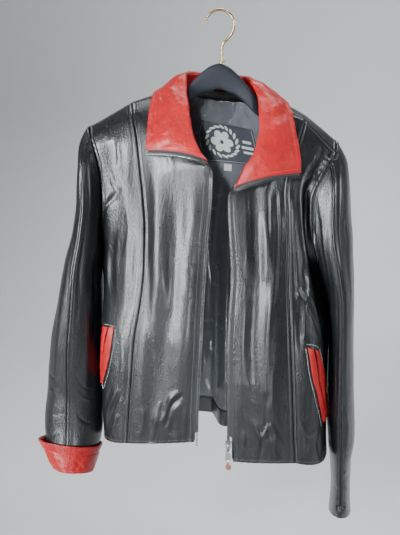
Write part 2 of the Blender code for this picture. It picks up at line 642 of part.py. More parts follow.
def closed_loft(name, rings, material, lean=True):
    """A solid through closed rings of points, its two ends capped."""
    count, sides = len(rings), len(rings[0])
    points = hang(rings) if lean else np.array(rings, float)
    faces = [tuple(range(sides))[::-1], tuple((count - 1) * sides + k for k in range(sides))]
    for i in range(count - 1):
        for k in range(sides):
            following = (k + 1) % sides
            faces.append((i * sides + k, i * sides + following,
                          (i + 1) * sides + following, (i + 1) * sides + k))
    mesh = bpy.data.meshes.new(name)
    mesh.from_pydata((points * MM).reshape(-1, 3).tolist(), [], faces)
    mesh.validate()
    form = bmesh.new()
    form.from_mesh(mesh)
    bmesh.ops.recalc_face_normals(form, faces=form.faces)
    form.to_mesh(mesh)
    form.free()
    return add_object(name, mesh, material, bpy.data.collections[COLLECTION_NAME])


def flat_bar(name, first, second, normals, thickness, material, lean=True):
    """A bar of rectangular section between two lines of points."""
    lift = normals * thickness / 2
    rings = np.stack([first + lift, second + lift, second - lift, first - lift], axis=1)
    return closed_loft(name, rings, material, lean)


# --- zip ----------------------------------------------------------------------------------------
# Where the chain turns from the front onto the collar: chain x y z, direction to the leather x y z,
# distance from the chain's centre to the far edge of the tape.
ZIP_CORNER = {
    "right": [(0.5, -90, -225, -1, 0, 0, 4.6),
              (-1.2, -93.5, -216, -0.25, 0.96, 0.1, 3.6)],
    "left": [(28.8, -91, -256, 1, 0, 0, 4.6),
             (30.8, -94.5, -249.5, 0.25, 0.96, 0.1, 3.6)],
}
CORNER_REACH = 3.5       # the tape's far edge beside the collar's fold
# chain's centre to the leather at the hem, at the top of the front and along the collar;
# the height on the front where the corner starts; lowest Z of the chain and of the tape
ZIP_REACH = {"right": (6.1, 6.1, 6.0, 0.800, -643.0, -659), "left": (8.4, 6.0, 5.4, 0.775, -652.0, -684)}
TAPE_GAP = 0.9           # between the tape and the chain
PAST_SLIDER = (-645, 5.6)    # below this Z the left tape starts this far from the chain's centre
ZIP_STATIONS = 46


def zip_lines(tag):
    """The zip's chain centre, direction to the leather, reach to the tape's far edge, and normals."""
    at_hem, at_top, on_collar, top_place, chain_end, tape_end = ZIP_REACH[tag]
    side = -1 if tag == "right" else 1
    v = np.linspace(0.0, top_place, 20)
    front = front_points(tag, "centre", np.array([0.0, 0.06]), v)
    along = np.gradient(front[0], axis=0)
    along /= np.linalg.norm(along, axis=1, keepdims=True)
    inwards = front[1] - front[0]
    inwards -= along * np.sum(inwards * along, axis=1, keepdims=True)
    inwards /= np.linalg.norm(inwards, axis=1, keepdims=True)
    facing = np.cross(along, inwards)
    facing *= -np.sign(facing[:, 1:2])
    reach = np.linspace(at_hem, at_top, len(v))[:, None]
    middle = front[0] - facing * LEATHER / 2
    rows = [np.concatenate([middle - inwards * reach, inwards, reach - PIECE_GAP], axis=1)]
    rows.append(np.array(ZIP_CORNER[tag], float))
    t = np.concatenate([[0.31, 0.345, 0.38], np.linspace(0.43, 0.985, 11)])
    s = np.array([0.003, 0.02]) if tag == "right" else np.array([0.997, 0.98])
    leaf = collar_surface(np.sort(s), t)
    leaf = leaf if tag == "right" else leaf[::-1]
    along = np.gradient(leaf[0], axis=0)
    along /= np.linalg.norm(along, axis=1, keepdims=True)
    inwards = leaf[1] - leaf[0]
    inwards -= along * np.sum(inwards * along, axis=1, keepdims=True)
    inwards /= np.linalg.norm(inwards, axis=1, keepdims=True)
    facing = np.cross(along, inwards)
    facing *= -np.sign(facing[:, 1:2])
    middle = leaf[0] - facing * (LEATHER + UNDER_GAP / 2)
    tape_reach = np.minimum(on_collar - PIECE_GAP, CORNER_REACH + (t - t[0]) * 30)[:, None]
    rows.append(np.concatenate([middle - inwards * on_collar, inwards, tape_reach], axis=1))
    table = np.concatenate(rows)
    places = lengths_along(table[:, :3])
    lines = smooth_through(places, table, np.linspace(0, 1, ZIP_STATIONS * 4))
    chosen = lengths_along(lines[:, :3])
    lines = np.array([np.interp(np.linspace(0, 1, ZIP_STATIONS * 2), chosen, column)
                      for column in lines.T]).T
    centre, towards = lines[:, :3], lines[:, 3:6]
    along = np.gradient(centre, axis=0)
    along /= np.linalg.norm(along, axis=1, keepdims=True)
    towards = towards - along * np.sum(towards * along, axis=1, keepdims=True)
    towards /= np.linalg.norm(towards, axis=1, keepdims=True)
    normals = np.cross(along, towards) * side
    return centre, towards, lines[:, 6:7], normals


def thinned(lines, lowest):
    """Every line cut off at a height, with fewer stations along its straight stretch."""
    height = lines[0][:, 2]
    straight = int(np.searchsorted(height[:ZIP_STATIONS], -300))
    ends = [np.array([np.interp(lowest, height[:straight], column[:straight]) for column in line.T])
            for line in lines]
    low = [k for k in range(straight) if height[k] > lowest + 2 and (k % 4 == 0 or height[k] < -640)]
    return [np.concatenate([end[None], line[low], line[straight:]]) for end, line in zip(ends, lines)]


def build_zip(tape_cloth, metal):
    for tag in FRONTS:
        lines = zip_lines(tag)
        chain_end, tape_end = ZIP_REACH[tag][4:6]
        centre, towards, reach, normals = thinned(lines, chain_end)
        half = towards * CHAIN_WIDTH / 2
        flat_bar("zip_chain_" + tag, centre - half, centre + half, normals, CHAIN_THICKNESS, metal)
        centre, towards, reach, normals = thinned(lines, tape_end)
        start = np.full((len(centre), 1), CHAIN_WIDTH / 2 + TAPE_GAP)
        if tag == "left":
            start[centre[:, 2] < PAST_SLIDER[0]] = PAST_SLIDER[1]
        flat_bar("zip_tape_" + tag, centre + towards * start, centre + towards * reach, normals,
                 TAPE_THICKNESS, tape_cloth)


# The zip's hardware stands upright at its own anchor: x y z in the leaning jacket.
SLIDER = (31.2, -98.6, -659.5)
PIVOT_UP = 3.6           # the pull's crossbar above the slider's centre
PIVOT_OUT = 5.6          # and in front of it
# half width, half thickness, height above the anchor
SLIDER_ROWS = [(3.2, 1.6, 7.0), (4.6, 2.6, 6.0), (5.0, 2.9, 3.0), (4.3, 2.9, -2.0), (3.6, 2.8, -5.5),
               (2.9, 1.8, -6.8)]
BRIDGE = [(-2.4, 6.1), (-5.5, 6.1), (-7.3, 4.6), (-7.7, 2.0), (-7.3, -1.5), (-5.2, -4.6), (-2.4, -5.2)]
BRIDGE_SECTION = (1.2, 0.6)
BOX_ROWS = [(1.5, 1.0, -7.3), (1.6, 1.1, -17.0), (1.8, 1.2, -17.6), (4.2, 2.2, -18.4), (4.4, 2.4, -27.0),
            (3.9, 2.0, -28.2)]
PIN = (-19.4, -98.6, -655.0)
PIN_ROWS = [(1.3, 1.0, 11.6), (1.4, 1.1, 9.0), (1.3, 1.1, -12.0), (0.9, 0.7, -13.2)]
# the pull below its crossbar: height, half width, half width of the hole, half thickness, x shift
PULL_ROWS = [(0.75, 2.9, 1.75, 0.7, 0.0), (-0.75, 3.1, 1.75, 0.7, 0.0), (-6.0, 3.2, 1.75, 0.7, 0.1),
             (-11.8, 3.2, 1.75, 0.7, 0.2), (-13.6, 3.5, 1.75, 0.9, 0.3), (-20.0, 3.9, 1.9, 0.9, 0.5),
             (-25.5, 2.7, 1.4, 0.9, 0.7), (-27.5, 1.6, 0.8, 0.8, 0.9), (-29.5, 2.2, 1.1, 1.2, 1.0),
             (-34.5, 3.6, 1.8, 1.7, 1.2), (-40.0, 4.7, 2.4, 1.9, 1.4), (-43.5, 3.6, 1.8, 1.4, 1.5),
             (-44.8, 1.6, 0.8, 0.7, 1.5)]
PULL_HOLE = (1, 3)       # the hole lies between these rows


def at_anchor(anchor, points):
    return np.array(points, float) + hang(np.array(anchor, float))


def octagon_rows(anchor, rows):
    """Rings with cut corners, stacked at an anchor."""
    rings = []
    for half_width, half_thickness, height in rows:
        cut = 0.35 * half_thickness
        corners = [(half_width - cut, -half_thickness), (half_width, cut - half_thickness),
                   (half_width, half_thickness - cut), (half_width - cut, half_thickness),
                   (cut - half_width, half_thickness), (-half_width, half_thickness - cut),
                   (-half_width, cut - half_thickness), (cut - half_width, -half_thickness)]
        rings.append([(x, y, height) for x, y in corners])
    return at_anchor(anchor, rings)


def build_slider(metal):
    """The slider: its body, with the bridge that holds the pull joined on."""
    slider = closed_loft("zip_slider", octagon_rows(SLIDER, SLIDER_ROWS), metal, lean=False)
    path = np.array([(0, y, z) for y, z in BRIDGE], float)
    along = np.gradient(path, axis=0)
    along /= np.linalg.norm(along, axis=1, keepdims=True)
    outwards = np.cross(along, [1.0, 0, 0])
    half_width, half_thickness = BRIDGE_SECTION
    side = np.array([half_width, 0, 0])
    lift = outwards * half_thickness
    rings = np.stack([path - side + lift, path + side + lift, path + side - lift, path - side - lift], axis=1)
    bridge = closed_loft("bridge_helper", at_anchor(SLIDER, rings), metal, lean=False)
    join = slider.modifiers.new("bridge", "BOOLEAN")
    join.operation = "UNION"
    join.solver = "EXACT"
    join.object = bridge
    put_away(bridge)


def put_away(thing):
    """Moves a helper out of the part's collection."""
    for collection in list(thing.users_collection):
        collection.objects.unlink(thing)
    bpy.data.collections["helpers"].objects.link(thing)
    thing.hide_render = True
    thing.display_type = "WIRE"


def build_pull(metal):
    """The pull tab: a plate with a hole round the bridge, its origin on the crossbar's axis."""
    rows = PULL_ROWS
    vertices, faces = [], []
    for face in (-1, 1):
        for height, half_width, hole, half_thickness, shift in rows:
            for x in (-half_width, -hole, hole, half_width):
                thickness = half_thickness * (1.0 if abs(x) == hole else 0.8)
                vertices.append((x + shift, face * thickness, height))
    back = len(rows) * 4

    def front_at(row, column):
        return row * 4 + column

    def quad(a, b, c, d):
        faces.append((a, b, c, d))

    for row in range(len(rows) - 1):
        for column in range(3):
            if column == 1 and PULL_HOLE[0] <= row < PULL_HOLE[1]:
                continue
            corners = (front_at(row, column), front_at(row + 1, column),
                       front_at(row + 1, column + 1), front_at(row, column + 1))
            quad(*corners)
            quad(*[back + corner for corner in corners[::-1]])
        walls = [0, 3] + ([1, 2] if PULL_HOLE[0] <= row < PULL_HOLE[1] else [])
        for column in walls:
            quad(front_at(row, column), front_at(row + 1, column),
                 back + front_at(row + 1, column), back + front_at(row, column))
    for row, columns in ((0, range(3)), (len(rows) - 1, range(3)), (PULL_HOLE[0], [1]), (PULL_HOLE[1], [1])):
        for column in columns:
            quad(front_at(row, column), front_at(row, column + 1),
                 back + front_at(row, column + 1), back + front_at(row, column))
    mesh = bpy.data.meshes.new("zip_pull")
    mesh.from_pydata((np.array(vertices) * MM).tolist(), [], faces)
    mesh.validate()
    form = bmesh.new()
    form.from_mesh(mesh)
    bmesh.ops.recalc_face_normals(form, faces=form.faces)
    form.to_mesh(mesh)
    form.free()
    pull = add_object("zip_pull", mesh, metal, bpy.data.collections[COLLECTION_NAME])
    pivot = hang(np.array(SLIDER, float)) + (0, -PIVOT_OUT, PIVOT_UP)
    pull.location = pivot * MM


def build_hardware(metal):
    build_slider(metal)
    closed_loft("zip_box", octagon_rows(SLIDER, BOX_ROWS), metal, lean=False)
    closed_loft("zip_pin", octagon_rows(PIN, PIN_ROWS), metal, lean=False)
    build_pull(metal)


# --- pieces that lie on a panel -----------------------------------------------------------------

def panel_places(grid, u, v, at_u, at_v):
    """Points of a grid read between its lines, at pairs of places."""
    low_u = np.clip(np.searchsorted(u, at_u, side="right") - 1, 0, len(u) - 2)
    low_v = np.clip(np.searchsorted(v, at_v, side="right") - 1, 0, len(v) - 2)
    part_u = ((at_u - u[low_u]) / (u[low_u + 1] - u[low_u]))[..., None]
    part_v = ((at_v - v[low_v]) / (v[low_v + 1] - v[low_v]))[..., None]
    lower = grid[low_u, low_v] * (1 - part_u) + grid[low_u + 1, low_v] * part_u
    upper = grid[low_u, low_v + 1] * (1 - part_u) + grid[low_u + 1, low_v + 1] * part_u
    return lower * (1 - part_v) + upper * part_v


def patch(name, grid, u, v, rows, shape, lift, thickness, material):
    """A thin piece laid on a panel. Each row gives v and the u of the piece's two sides."""
    columns, count = shape
    table = smooth_through(np.linspace(0, 1, len(rows)), np.array(rows, float), np.linspace(0, 1, count))
    across = np.linspace(0, 1, columns)[:, None]
    at_u = table[None, :, 1] * (1 - across) + table[None, :, 2] * across
    at_v = table[None, :, 0] * (1 - across) + table[None, :, 3] * across
    points = panel_places(grid, u, v, at_u, at_v)
    out = np.sign(lift) * outward_normals(points, body_axis(points))
    far = points + out * abs(lift)
    return wall(name, far + out * thickness, far - out * 30, thickness, material)


# The pocket lips. Panel, then rows down each lip: v at the inner side, u inner, u outer, v at the outer
WELTS = {
    "welt_right_front": ("right", [(0.352, 0.330, 0.440, 0.340), (0.310, 0.340, 0.500, 0.298),
                                   (0.260, 0.380, 0.580, 0.250), (0.212, 0.470, 0.680, 0.202),
                                   (0.165, 0.620, 0.740, 0.158)]),
    "welt_right_back": ("right", [(0.342, 0.475, 0.640, 0.335), (0.300, 0.540, 0.720, 0.293),
                                  (0.255, 0.620, 0.820, 0.247), (0.205, 0.720, 0.880, 0.199),
                                  (0.170, 0.790, 0.900, 0.165)]),
    "welt_left_front": ("left", [(0.362, 0.255, 0.345, 0.355), (0.320, 0.290, 0.410, 0.310),
                                 (0.265, 0.345, 0.490, 0.255), (0.215, 0.470, 0.620, 0.205),
                                 (0.160, 0.590, 0.760, 0.150), (0.118, 0.680, 0.850, 0.110)]),
    "welt_left_back": ("left", [(0.352, 0.380, 0.480, 0.345), (0.308, 0.450, 0.610, 0.300),
                                (0.250, 0.540, 0.760, 0.243), (0.205, 0.665, 0.890, 0.198),
                                (0.155, 0.800, 0.960, 0.148), (0.115, 0.885, 0.975, 0.110)]),
}
# the back's lining: v at the left side, u left, u right, v at the right side
LABEL_ROWS = [(0.862, 0.447, 0.580, 0.850), (0.842, 0.444, 0.578, 0.828), (0.815, 0.448, 0.577, 0.805),
              (0.790, 0.455, 0.577, 0.785), (0.764, 0.464, 0.576, 0.764)]
TAG_ROWS = [(0.757, 0.502, 0.523, 0.757), (0.738, 0.502, 0.523, 0.738)]


def build_welts(red):
    for name, (tag, rows) in WELTS.items():
        u = np.linspace(0, 1, 9)
        grid = front_points(tag, "side", u, ROWS_UP)
        patch(name, grid, u, ROWS_UP, rows, (4, 9), WELT_LIFT, LEATHER, red)


def build_labels(cloth, white):
    u, v = back_columns(), BACK_ROWS_UP
    grid = lining_points(u, v, LEATHER + LINING_GAP + SATIN)
    patch("label_patch", grid, u, v, LABEL_ROWS, (9, 6), -LABEL_LIFT, SATIN, cloth)
    patch("size_tag", grid, u, v, TAG_ROWS, (5, 2), -LABEL_LIFT, SATIN, white)


# --- hanger -------------------------------------------------------------------------------------
# x, height of the bar, half its thickness, y, z of its top edge
HANGER = [(-12, 38, 5.5, 2, -79), (0, 38, 5.5, 2, -75.5), (12, 38, 5.5, 2, -79), (25, 33, 5.6, 2, -88),
          (38, 30, 5.8, 1, -100.5), (50, 29, 6, 0, -113)]
HANGER_ENDS = (-189, 168)
HANGER_TOP_EASE = 3.7    # how far the bar's top lies below the shoulders' ridge


def hanger_sections():
    """Sections of the hanger's bar from its right end to its left: x y z of the top, height, half thickness."""
    shoulders = np.array([row[1:] for row in SHOULDERS], float)
    middle = np.array([(x, y, z, height, half) for x, height, half, y, z in HANGER], float)
    mirrored = middle[3:][::-1].copy()
    mirrored[:, 0] *= -1
    sections = [tuple(row) for row in mirrored] + [tuple(row) for row in middle]
    for side, end in ((-1, HANGER_ENDS[0]), (1, HANGER_ENDS[1])):
        places = np.linspace(68 * side, end, 8)
        y = np.interp(places, shoulders[:, 0], shoulders[:, 3]) - 1.5
        z = np.interp(places, shoulders[:, 0], shoulders[:, 4]) - LEATHER - PLASTIC_GAP - HANGER_TOP_EASE
        part = np.abs(places - 68 * side) / abs(end - 68 * side)
        height = 27 - 8 * part
        half = 6.2 + 1.6 * np.sin(math.pi * np.clip(part, 0, 0.8) / 0.8 / 2)
        added = [tuple(row) for row in np.stack([places, y, z, height, half], axis=1)]
        sections = added[::-1] + sections if side < 0 else sections + added
    return np.array(sections)


def build_hanger(plastic):
    rows = hanger_sections()
    profile = [(0.0, 0.0), (0.62, 0.05), (0.95, 0.22), (1.0, 0.45), (0.95, 0.75), (0.55, 0.96), (0.0, 1.0),
               (-0.55, 0.96), (-0.95, 0.75), (-1.0, 0.45), (-0.95, 0.22), (-0.62, 0.05)]
    rings = []
    for index, (x, y, z, height, half) in enumerate(rows):
        rings.append([(x, y + across * half, z - down * height) for across, down in profile])
    for end, inner, shrink in ((0, 0, 0.55), (-1, -1, 0.55)):
        ring = np.array(rings[end])
        centre = ring.mean(axis=0)
        capped = centre + (ring - centre) * shrink
        capped[:, 0] += math.copysign(4.5, rows[end][0])
        if end == 0:
            rings.insert(0, capped.tolist())
        else:
            rings.append(capped.tolist())
    closed_loft("hanger_body", rings, plastic)


# hook: x z of the wire's middle and its radius, from the tip over the top and down to the boss
HOOK_CENTRE_Z = 1.9 - HOOK_RADIUS
HOOK_ARC = (156, -14)    # degrees from +X
HOOK_NECK = [(20.2, -27.5, 1.9), (17.0, -34.0, 1.9), (11.5, -40.0, 1.9), (6.4, -45.0, 1.9),
             (3.9, -51.0, 1.9), (3.5, -58.0, 1.9), (3.5, -70.4, 1.9), (3.5, -71.0, BOSS_RADIUS),
             (3.5, -75.1, BOSS_RADIUS)]
HOOK_TIP = [(162.5, 1.0), (161.0, 2.2), (157.5, 2.6), (154.0, 2.2), (151.5, 1.9)]
HOOK_SIDES = 10


def build_hook(metal):
    stations = []
    for angle, radius in HOOK_TIP:
        stations.append((angle, radius))
    for angle in np.linspace(145, HOOK_ARC[1], 14):
        stations.append((angle, HOOK_WIRE / 2))
    path = [(HOOK_RADIUS * math.cos(math.radians(a)), HOOK_CENTRE_Z + HOOK_RADIUS * math.sin(math.radians(a)), r)
            for a, r in stations] + HOOK_NECK
    path = np.array(path)
    middle = path[:, :2]
    along = np.gradient(middle, axis=0)
    along[-2:] = (0, -1)
    along[-3] = (0, -1)
    along /= np.linalg.norm(along, axis=1, keepdims=True)
    square = np.stack([along[:, 1], -along[:, 0]], axis=1)
    turn = np.radians(np.arange(HOOK_SIDES) * 360 / HOOK_SIDES)
    rings = []
    for (x, z, radius), (sx, sz) in zip(path, square):
        rings.append([(x + sx * radius * math.cos(a), radius * math.sin(a), z + sz * radius * math.cos(a))
                      for a in turn])
    closed_loft("hanger_hook", rings, metal, lean=False)


def main():
    for thing in list(bpy.data.objects):
        bpy.data.objects.remove(thing, do_unlink=True)
    collection = bpy.data.collections.new(COLLECTION_NAME)
    bpy.context.scene.collection.children.link(collection)
    helpers = bpy.data.collections.new("helpers")
    bpy.context.scene.collection.children.link(helpers)
    leather = make_material("black_leather", (0.012, 0.013, 0.016), 0.32)
    satin = make_material("black_satin", (0.010, 0.010, 0.014), 0.40)
    red = make_material("red_leather", (0.50, 0.035, 0.035), 0.42)
    tape_cloth = make_material("zip_tape_cloth", (0.012, 0.012, 0.014), 0.85)
    zip_metal = make_material("zip_metal", (0.62, 0.63, 0.65), 0.35, 1.0)
    label_cloth = make_material("label_cloth", (0.03, 0.034, 0.045), 0.70)
    white = make_material("white_tag", (0.75, 0.75, 0.73), 0.70)
    plastic = make_material("hanger_plastic", (0.022, 0.026, 0.040), 0.40)
    brass = make_material("hook_brass", (0.60, 0.42, 0.18), 0.25, 1.0)
    build_fronts(leather)
    build_back(leather, satin)
    build_sleeves(leather)
    build_cuffs(red)
    build_collar(red, leather)
    build_zip(tape_cloth, zip_metal)
    build_hardware(zip_metal)
    build_welts(red)
    build_labels(label_cloth, white)
    build_hanger(plastic)
    build_hook(brass)


main()
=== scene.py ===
"""A leather jacket hanging open on a moulded hanger, dressed for the eye.

The panels are the same lofted tables as the solids have, on finer grids, with their creases, turned
edges, seams and stitches. Tables are in millimetres, with the jacket hanging straight; hang() leans it.
"""
import math

import bmesh
import bpy
import numpy as np
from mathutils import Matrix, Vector


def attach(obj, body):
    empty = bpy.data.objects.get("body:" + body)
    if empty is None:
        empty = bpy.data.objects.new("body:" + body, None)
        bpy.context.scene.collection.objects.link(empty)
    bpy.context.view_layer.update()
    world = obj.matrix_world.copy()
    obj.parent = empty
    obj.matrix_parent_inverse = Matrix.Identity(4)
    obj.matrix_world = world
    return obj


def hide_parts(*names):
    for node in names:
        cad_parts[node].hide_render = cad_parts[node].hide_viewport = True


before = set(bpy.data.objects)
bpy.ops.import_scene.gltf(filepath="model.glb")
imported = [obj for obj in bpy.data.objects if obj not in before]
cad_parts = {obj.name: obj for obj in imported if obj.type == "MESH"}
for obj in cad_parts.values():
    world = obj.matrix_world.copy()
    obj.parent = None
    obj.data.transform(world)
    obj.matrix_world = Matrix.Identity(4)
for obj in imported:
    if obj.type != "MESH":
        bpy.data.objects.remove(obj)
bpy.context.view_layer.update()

MM = 0.001

# --- driving sizes, in millimetres -------------------------------------------------------------
LEATHER = 1.4            # thickness of a leather wall
SATIN = 1.0              # thickness of the lining's wall
SEAM_GAP = 1.0           # between two pieces that a seam joins, at their outer faces
CORNER_GAP = 1.1         # the same where the seam also turns a corner, which closes it inside
SLEEVE_GAP = 1.5         # at the sleeve seams, which lie on its sharp folds
NECK_GAP = 1.6           # between the collar's lower layer and the panels round the neck
COLLAR_END_GAP = 4.0     # further gap at the collar's ends
LINING_GAP = 1.0         # between the leather and the lining
FOLD_EASE = 1.6          # further gap between them over the back's fold
HEM_FACING = 30          # height of the leather facing inside the hem
LEAN = 0.054             # the hanger's lean: how far Z drops for each millimetre along X
CHAIN_WIDTH = 4.6
CHAIN_THICKNESS = 2.6
TAPE_THICKNESS = 1.0
PIECE_GAP = 0.75         # between the zip's tape and the leather
WELT_LIFT = 0.85         # between a pocket's lip and the panel it lies on
LABEL_LIFT = 0.9         # between a label and the lining
HOOK_WIRE = 3.8
HOOK_RADIUS = 21.5       # from the hook's centre to the middle of its wire
BOSS_RADIUS = 4.3        # the hook's boss on the hanger
PLASTIC_GAP = 0.4        # between the jacket and the hanger inside it

# --- the fronts: a row for each section, from the zip edge over the princess seam to the side ---
# name, zip edge x y z, princess seam x y z, side seam or armhole x y z, chest bulge, side roundness
FRONT_RIGHT = [
    ("hem", -26, -98, -662, -137, -90, -684, -192, -22, -706, 3, 0.82),
    ("low", -25, -98, -620, -133, -90, -634, -192, -20, -645, 4, 0.92),
    ("pocket", -23, -97, -560, -127, -90, -566, -191, -18, -570, 5, 0.94),
    ("waist", -20, -96, -500, -121, -88, -500, -189, -17, -500, 6, 0.94),
    ("rib", -18, -93, -440, -111, -85, -440, -187, -14, -440, 7, 0.78),
    ("underarm", -15, -91, -385, -105, -81, -385, -189, -14, -387, 8, 0.65),
    ("bust", -12, -90, -325, -104, -75, -325, -183, -36, -340, 8, 0.45),
    ("chest", -7, -89, -270, -108, -66, -275, -177, -50, -285, 7, 0.35),
    ("break", -6, -86, -219, -115, -56, -222, -178, -49, -250, 4, 0.30),
    ("neck", -34, -75, -191, -121, -45, -185, -186, -45, -216, 1, 0.30),
    ("high", -57, -32, -141, -130, -29, -158, -194, -37, -198, 0, 0.30),
    ("shoulder", -67, 3, -119.5, -136, -8, -143, -202, -17, -184, 0, 0.00),
]
FRONT_LEFT = [
    ("hem", 40, -98, -688, 138, -90, -681, 187, -22, -697, 3, 0.84),
    ("low", 39, -98, -640, 134, -90, -634, 184, -19, -640, 4, 0.92),
    ("pocket", 38, -98, -570, 130, -90, -560, 182, -16, -565, 5, 0.94),
    ("waist", 37, -97, -500, 126, -89, -500, 181, -14, -500, 6, 0.94),
    ("rib", 38, -94, -440, 122, -87, -440, 178, -14, -440, 7, 0.75),
    ("underarm", 40, -91, -387, 118, -82, -385, 170, -14, -387, 8, 0.65),
    ("bust", 37, -90, -325, 114, -76, -320, 158, -40, -345, 7, 0.45),
    ("chest", 34, -89, -285, 111, -70, -275, 150, -52, -292, 6, 0.35),
    ("break", 33, -87, -252, 109, -62, -248, 149, -51, -262, 4, 0.30),
    ("neck", 66, -78, -215, 113, -50, -212, 157, -48, -234, 1, 0.30),
    ("high", 81, -42, -163, 124, -36, -176, 172, -40, -205, 0, 0.30),
    ("shoulder", 69, -8, -125.5, 131, -20, -148, 179, -30, -190, 0, 0.00),
]

# --- the back: a row for each section, up to the shoulder blades --------------------------------
# name, right side x y z, left side x y z, centre y z, depth of the centre fold
BACK = [
    ("hem", -192, -22, -706, 187, -22, -697, 52, -681, 46),
    ("low", -192, -20, -645, 184, -19, -640, 53, -632, 44),
    ("pocket", -191, -18, -570, 182, -16, -565, 54, -566, 42),
    ("waist", -189, -17, -500, 181, -14, -500, 55, -500, 40),
    ("rib", -187, -14, -440, 178, -14, -440, 57, -440, 34),
    ("underarm", -189, -14, -387, 170, -14, -387, 58, -387, 24),
    ("blade", -186, 18, -350, 168, 18, -350, 60, -338, 14),
    ("upper", -182, 42, -298, 174, 42, -300, 61, -280, 6),
    ("yoke", -181, 45, -242, 176, 44, -245, 59, -222, 0),
]
# The back's last rows run over the shoulders: a column for each place from shoulder to shoulder.
# name, x, behind y z, ridge y z, seam y z
SHOULDERS = [
    ("right tip", -202, 16, -193, -8, -183, -16, -183.6),
    ("right shoulder", -168, 24, -171, 1, -161.5, -11, -162.3),
    ("right princess", -136, 28, -151, 4, -142, -7, -142.5),
    ("right mid", -100, 32, -136, 7, -127, -1, -127.5),
    ("right neck", -67, 40, -129, 12, -120, 4, -119.7),
    ("right nape", -40, 46, -134, 38, -122, 36.5, -120),
    ("nape", 0, 50, -137, 43, -125, 41.5, -122),
    ("left nape", 40, 46, -136, 38, -123, 36.5, -121),
    ("left neck", 69, 38, -132, 9, -122, -7, -125),
    ("left mid", 100, 30, -138, 2, -128, -14, -133.3),
    ("left princess", 131, 26, -153, -1, -143, -19, -147.4),
    ("left shoulder", 157, 22, -171, -4, -160, -25, -167),
    ("left tip", 180, 16, -194, -7, -178, -29, -189.2),
]
BACK_FOLD_X = 12         # centre of the fold that bulges forward between the fronts
BACK_FOLD_WIDTH = 30     # half its width
# height above the hem, along the cloth, of each row of BACK, then of the three rows of SHOULDERS
BACK_HEIGHTS = [0, 55, 120, 186, 246, 300, 345, 400, 455, 535, 565, 580]
CENTRE_FLATNESS = 0.78   # how far the flat of the back reaches towards its sides

# --- the sleeves: a row for each section --------------------------------------------------------
# z, centre x y, half width, half depth, pitch: how far the section's front rises per millimetre
SLEEVE_RIGHT = [
    (-184, -202, -10, 11, 32, 0.00),
    (-206, -202, -13, 14, 48, 0.00),
    (-240, -199, -14, 18, 60, 0.00),
    (-285, -199, -14, 21, 66, 0.00),
    (-340, -206, -14, 23, 66, 0.00),
    (-400, -219, -15, 28, 64, 0.00),
    (-463, -227, -17, 34, 60, 0.02),
    (-541, -237, -17, 42, 56, 0.06),
    (-624, -243, -17, 47, 49, 0.14),
    (-690, -246, -27, 50.5, 42, 0.24),
    (-730, -246.5, -38, 46, 38, 0.28),
    (-768, -243.5, -50, 33, 35, 0.28),
]
SLEEVE_LEFT = [
    (-178, 178, -12, 7, 28, 0.00),
    (-205, 181, -10, 16, 46, 0.00),
    (-234, 179, -8, 22.5, 58, 0.00),
    (-280, 178, -6, 28, 64, 0.00),
    (-322, 181.5, -5, 30, 67, 0.00),
    (-368, 191.5, -3, 23, 68, 0.00),
    (-416, 199, 0, 19.5, 68, 0.00),
    (-480, 202.5, 4, 18.5, 67, 0.00),
    (-583, 206, 8, 21, 64, 0.04),
    (-672, 210, 11, 23, 60, 0.10),
    (-723, 211, 12, 17.5, 58, 0.18),
    (-760, 213, 12, 16.5, 56, 0.24),
    (-818, 214.5, 12, 19, 52, 0.29),
]
# Where on the sleeve's section each armhole point leads, in degrees from the front seam outwards
ARMHOLE_ANGLES_FRONT = {"underarm": -90, "bust": -60, "chest": -38, "break": -25, "neck": -12,
                        "high": 4, "shoulder": 62}
ARMHOLE_ANGLES_BACK = {"tip": 92, "behind": 132, "yoke": 172, "upper": 205, "blade": 240}
ARMHOLE_EASE = 1.6       # the sleeve starts this far outside the armhole

# --- the collar: a station for each place from the right end round the neck to the left end -----
# name, neck seam x y z, fold x y z, outer edge x y z, roll: how far the leaf bulges
COLLAR = [
    ("right end", -10, -86, -213, -3, -92, -210, -100, -70, -204, 5),
    ("right front", -33, -77, -188, -20, -81, -191, -101.5, -63, -187, 5),
    ("right chest", -48, -54, -161, -33, -60, -165, -101.5, -50, -166, 5),
    ("right throat", -58, -31, -136, -41, -36, -135, -101.5, -32, -143.5, 5),
    ("right side front", -64, -11, -119, -48, -12, -113, -102, -7, -126, 5),
    ("right side", -65, 5, -114, -51, 6, -96, -93, 24, -121, 6),
    ("right back", -50, 29, -115, -40, 26, -93, -72, 59, -146, 6),
    ("right nape", -25, 41, -116, -20, 36, -93, -38, 68, -162, 6),
    ("nape", 0, 44, -117, 0, 38.5, -94, 0, 71, -166, 6),
    ("left nape", 27, 41, -117, 22, 36, -94, 42, 68, -164, 6),
    ("left back", 52, 29, -116, 39, 26, -96, 78, 59, -148, 6),
    ("left side", 66, 4, -117, 46, 6, -100, 98, 20, -124, 6),
    ("left side front", 72, -12, -126, 56, -7, -115, 107, -9, -128, 5),
    ("left throat", 81, -31, -147, 64, -34, -141, 116, -30, -151, 5),
    ("left chest", 83, -50, -167, 66, -53, -163, 121, -44, -167, 5),
    ("left bust", 77, -69, -194, 60, -73, -195, 126, -57, -185, 5),
    ("left front", 66, -80, -212, 48, -84, -216, 129.5, -67, -203, 5),
    ("left end", 42, -89, -245, 34, -92, -246, 130, -73, -218, 5),
]
FOLD_RADIUS = 5.0        # the collar's rounded fold
END_ARCH = 6.0           # how far each zip end of the leaf arches up between fold and corner
UNDER_GAP = 0.4          # between the collar's two leathers


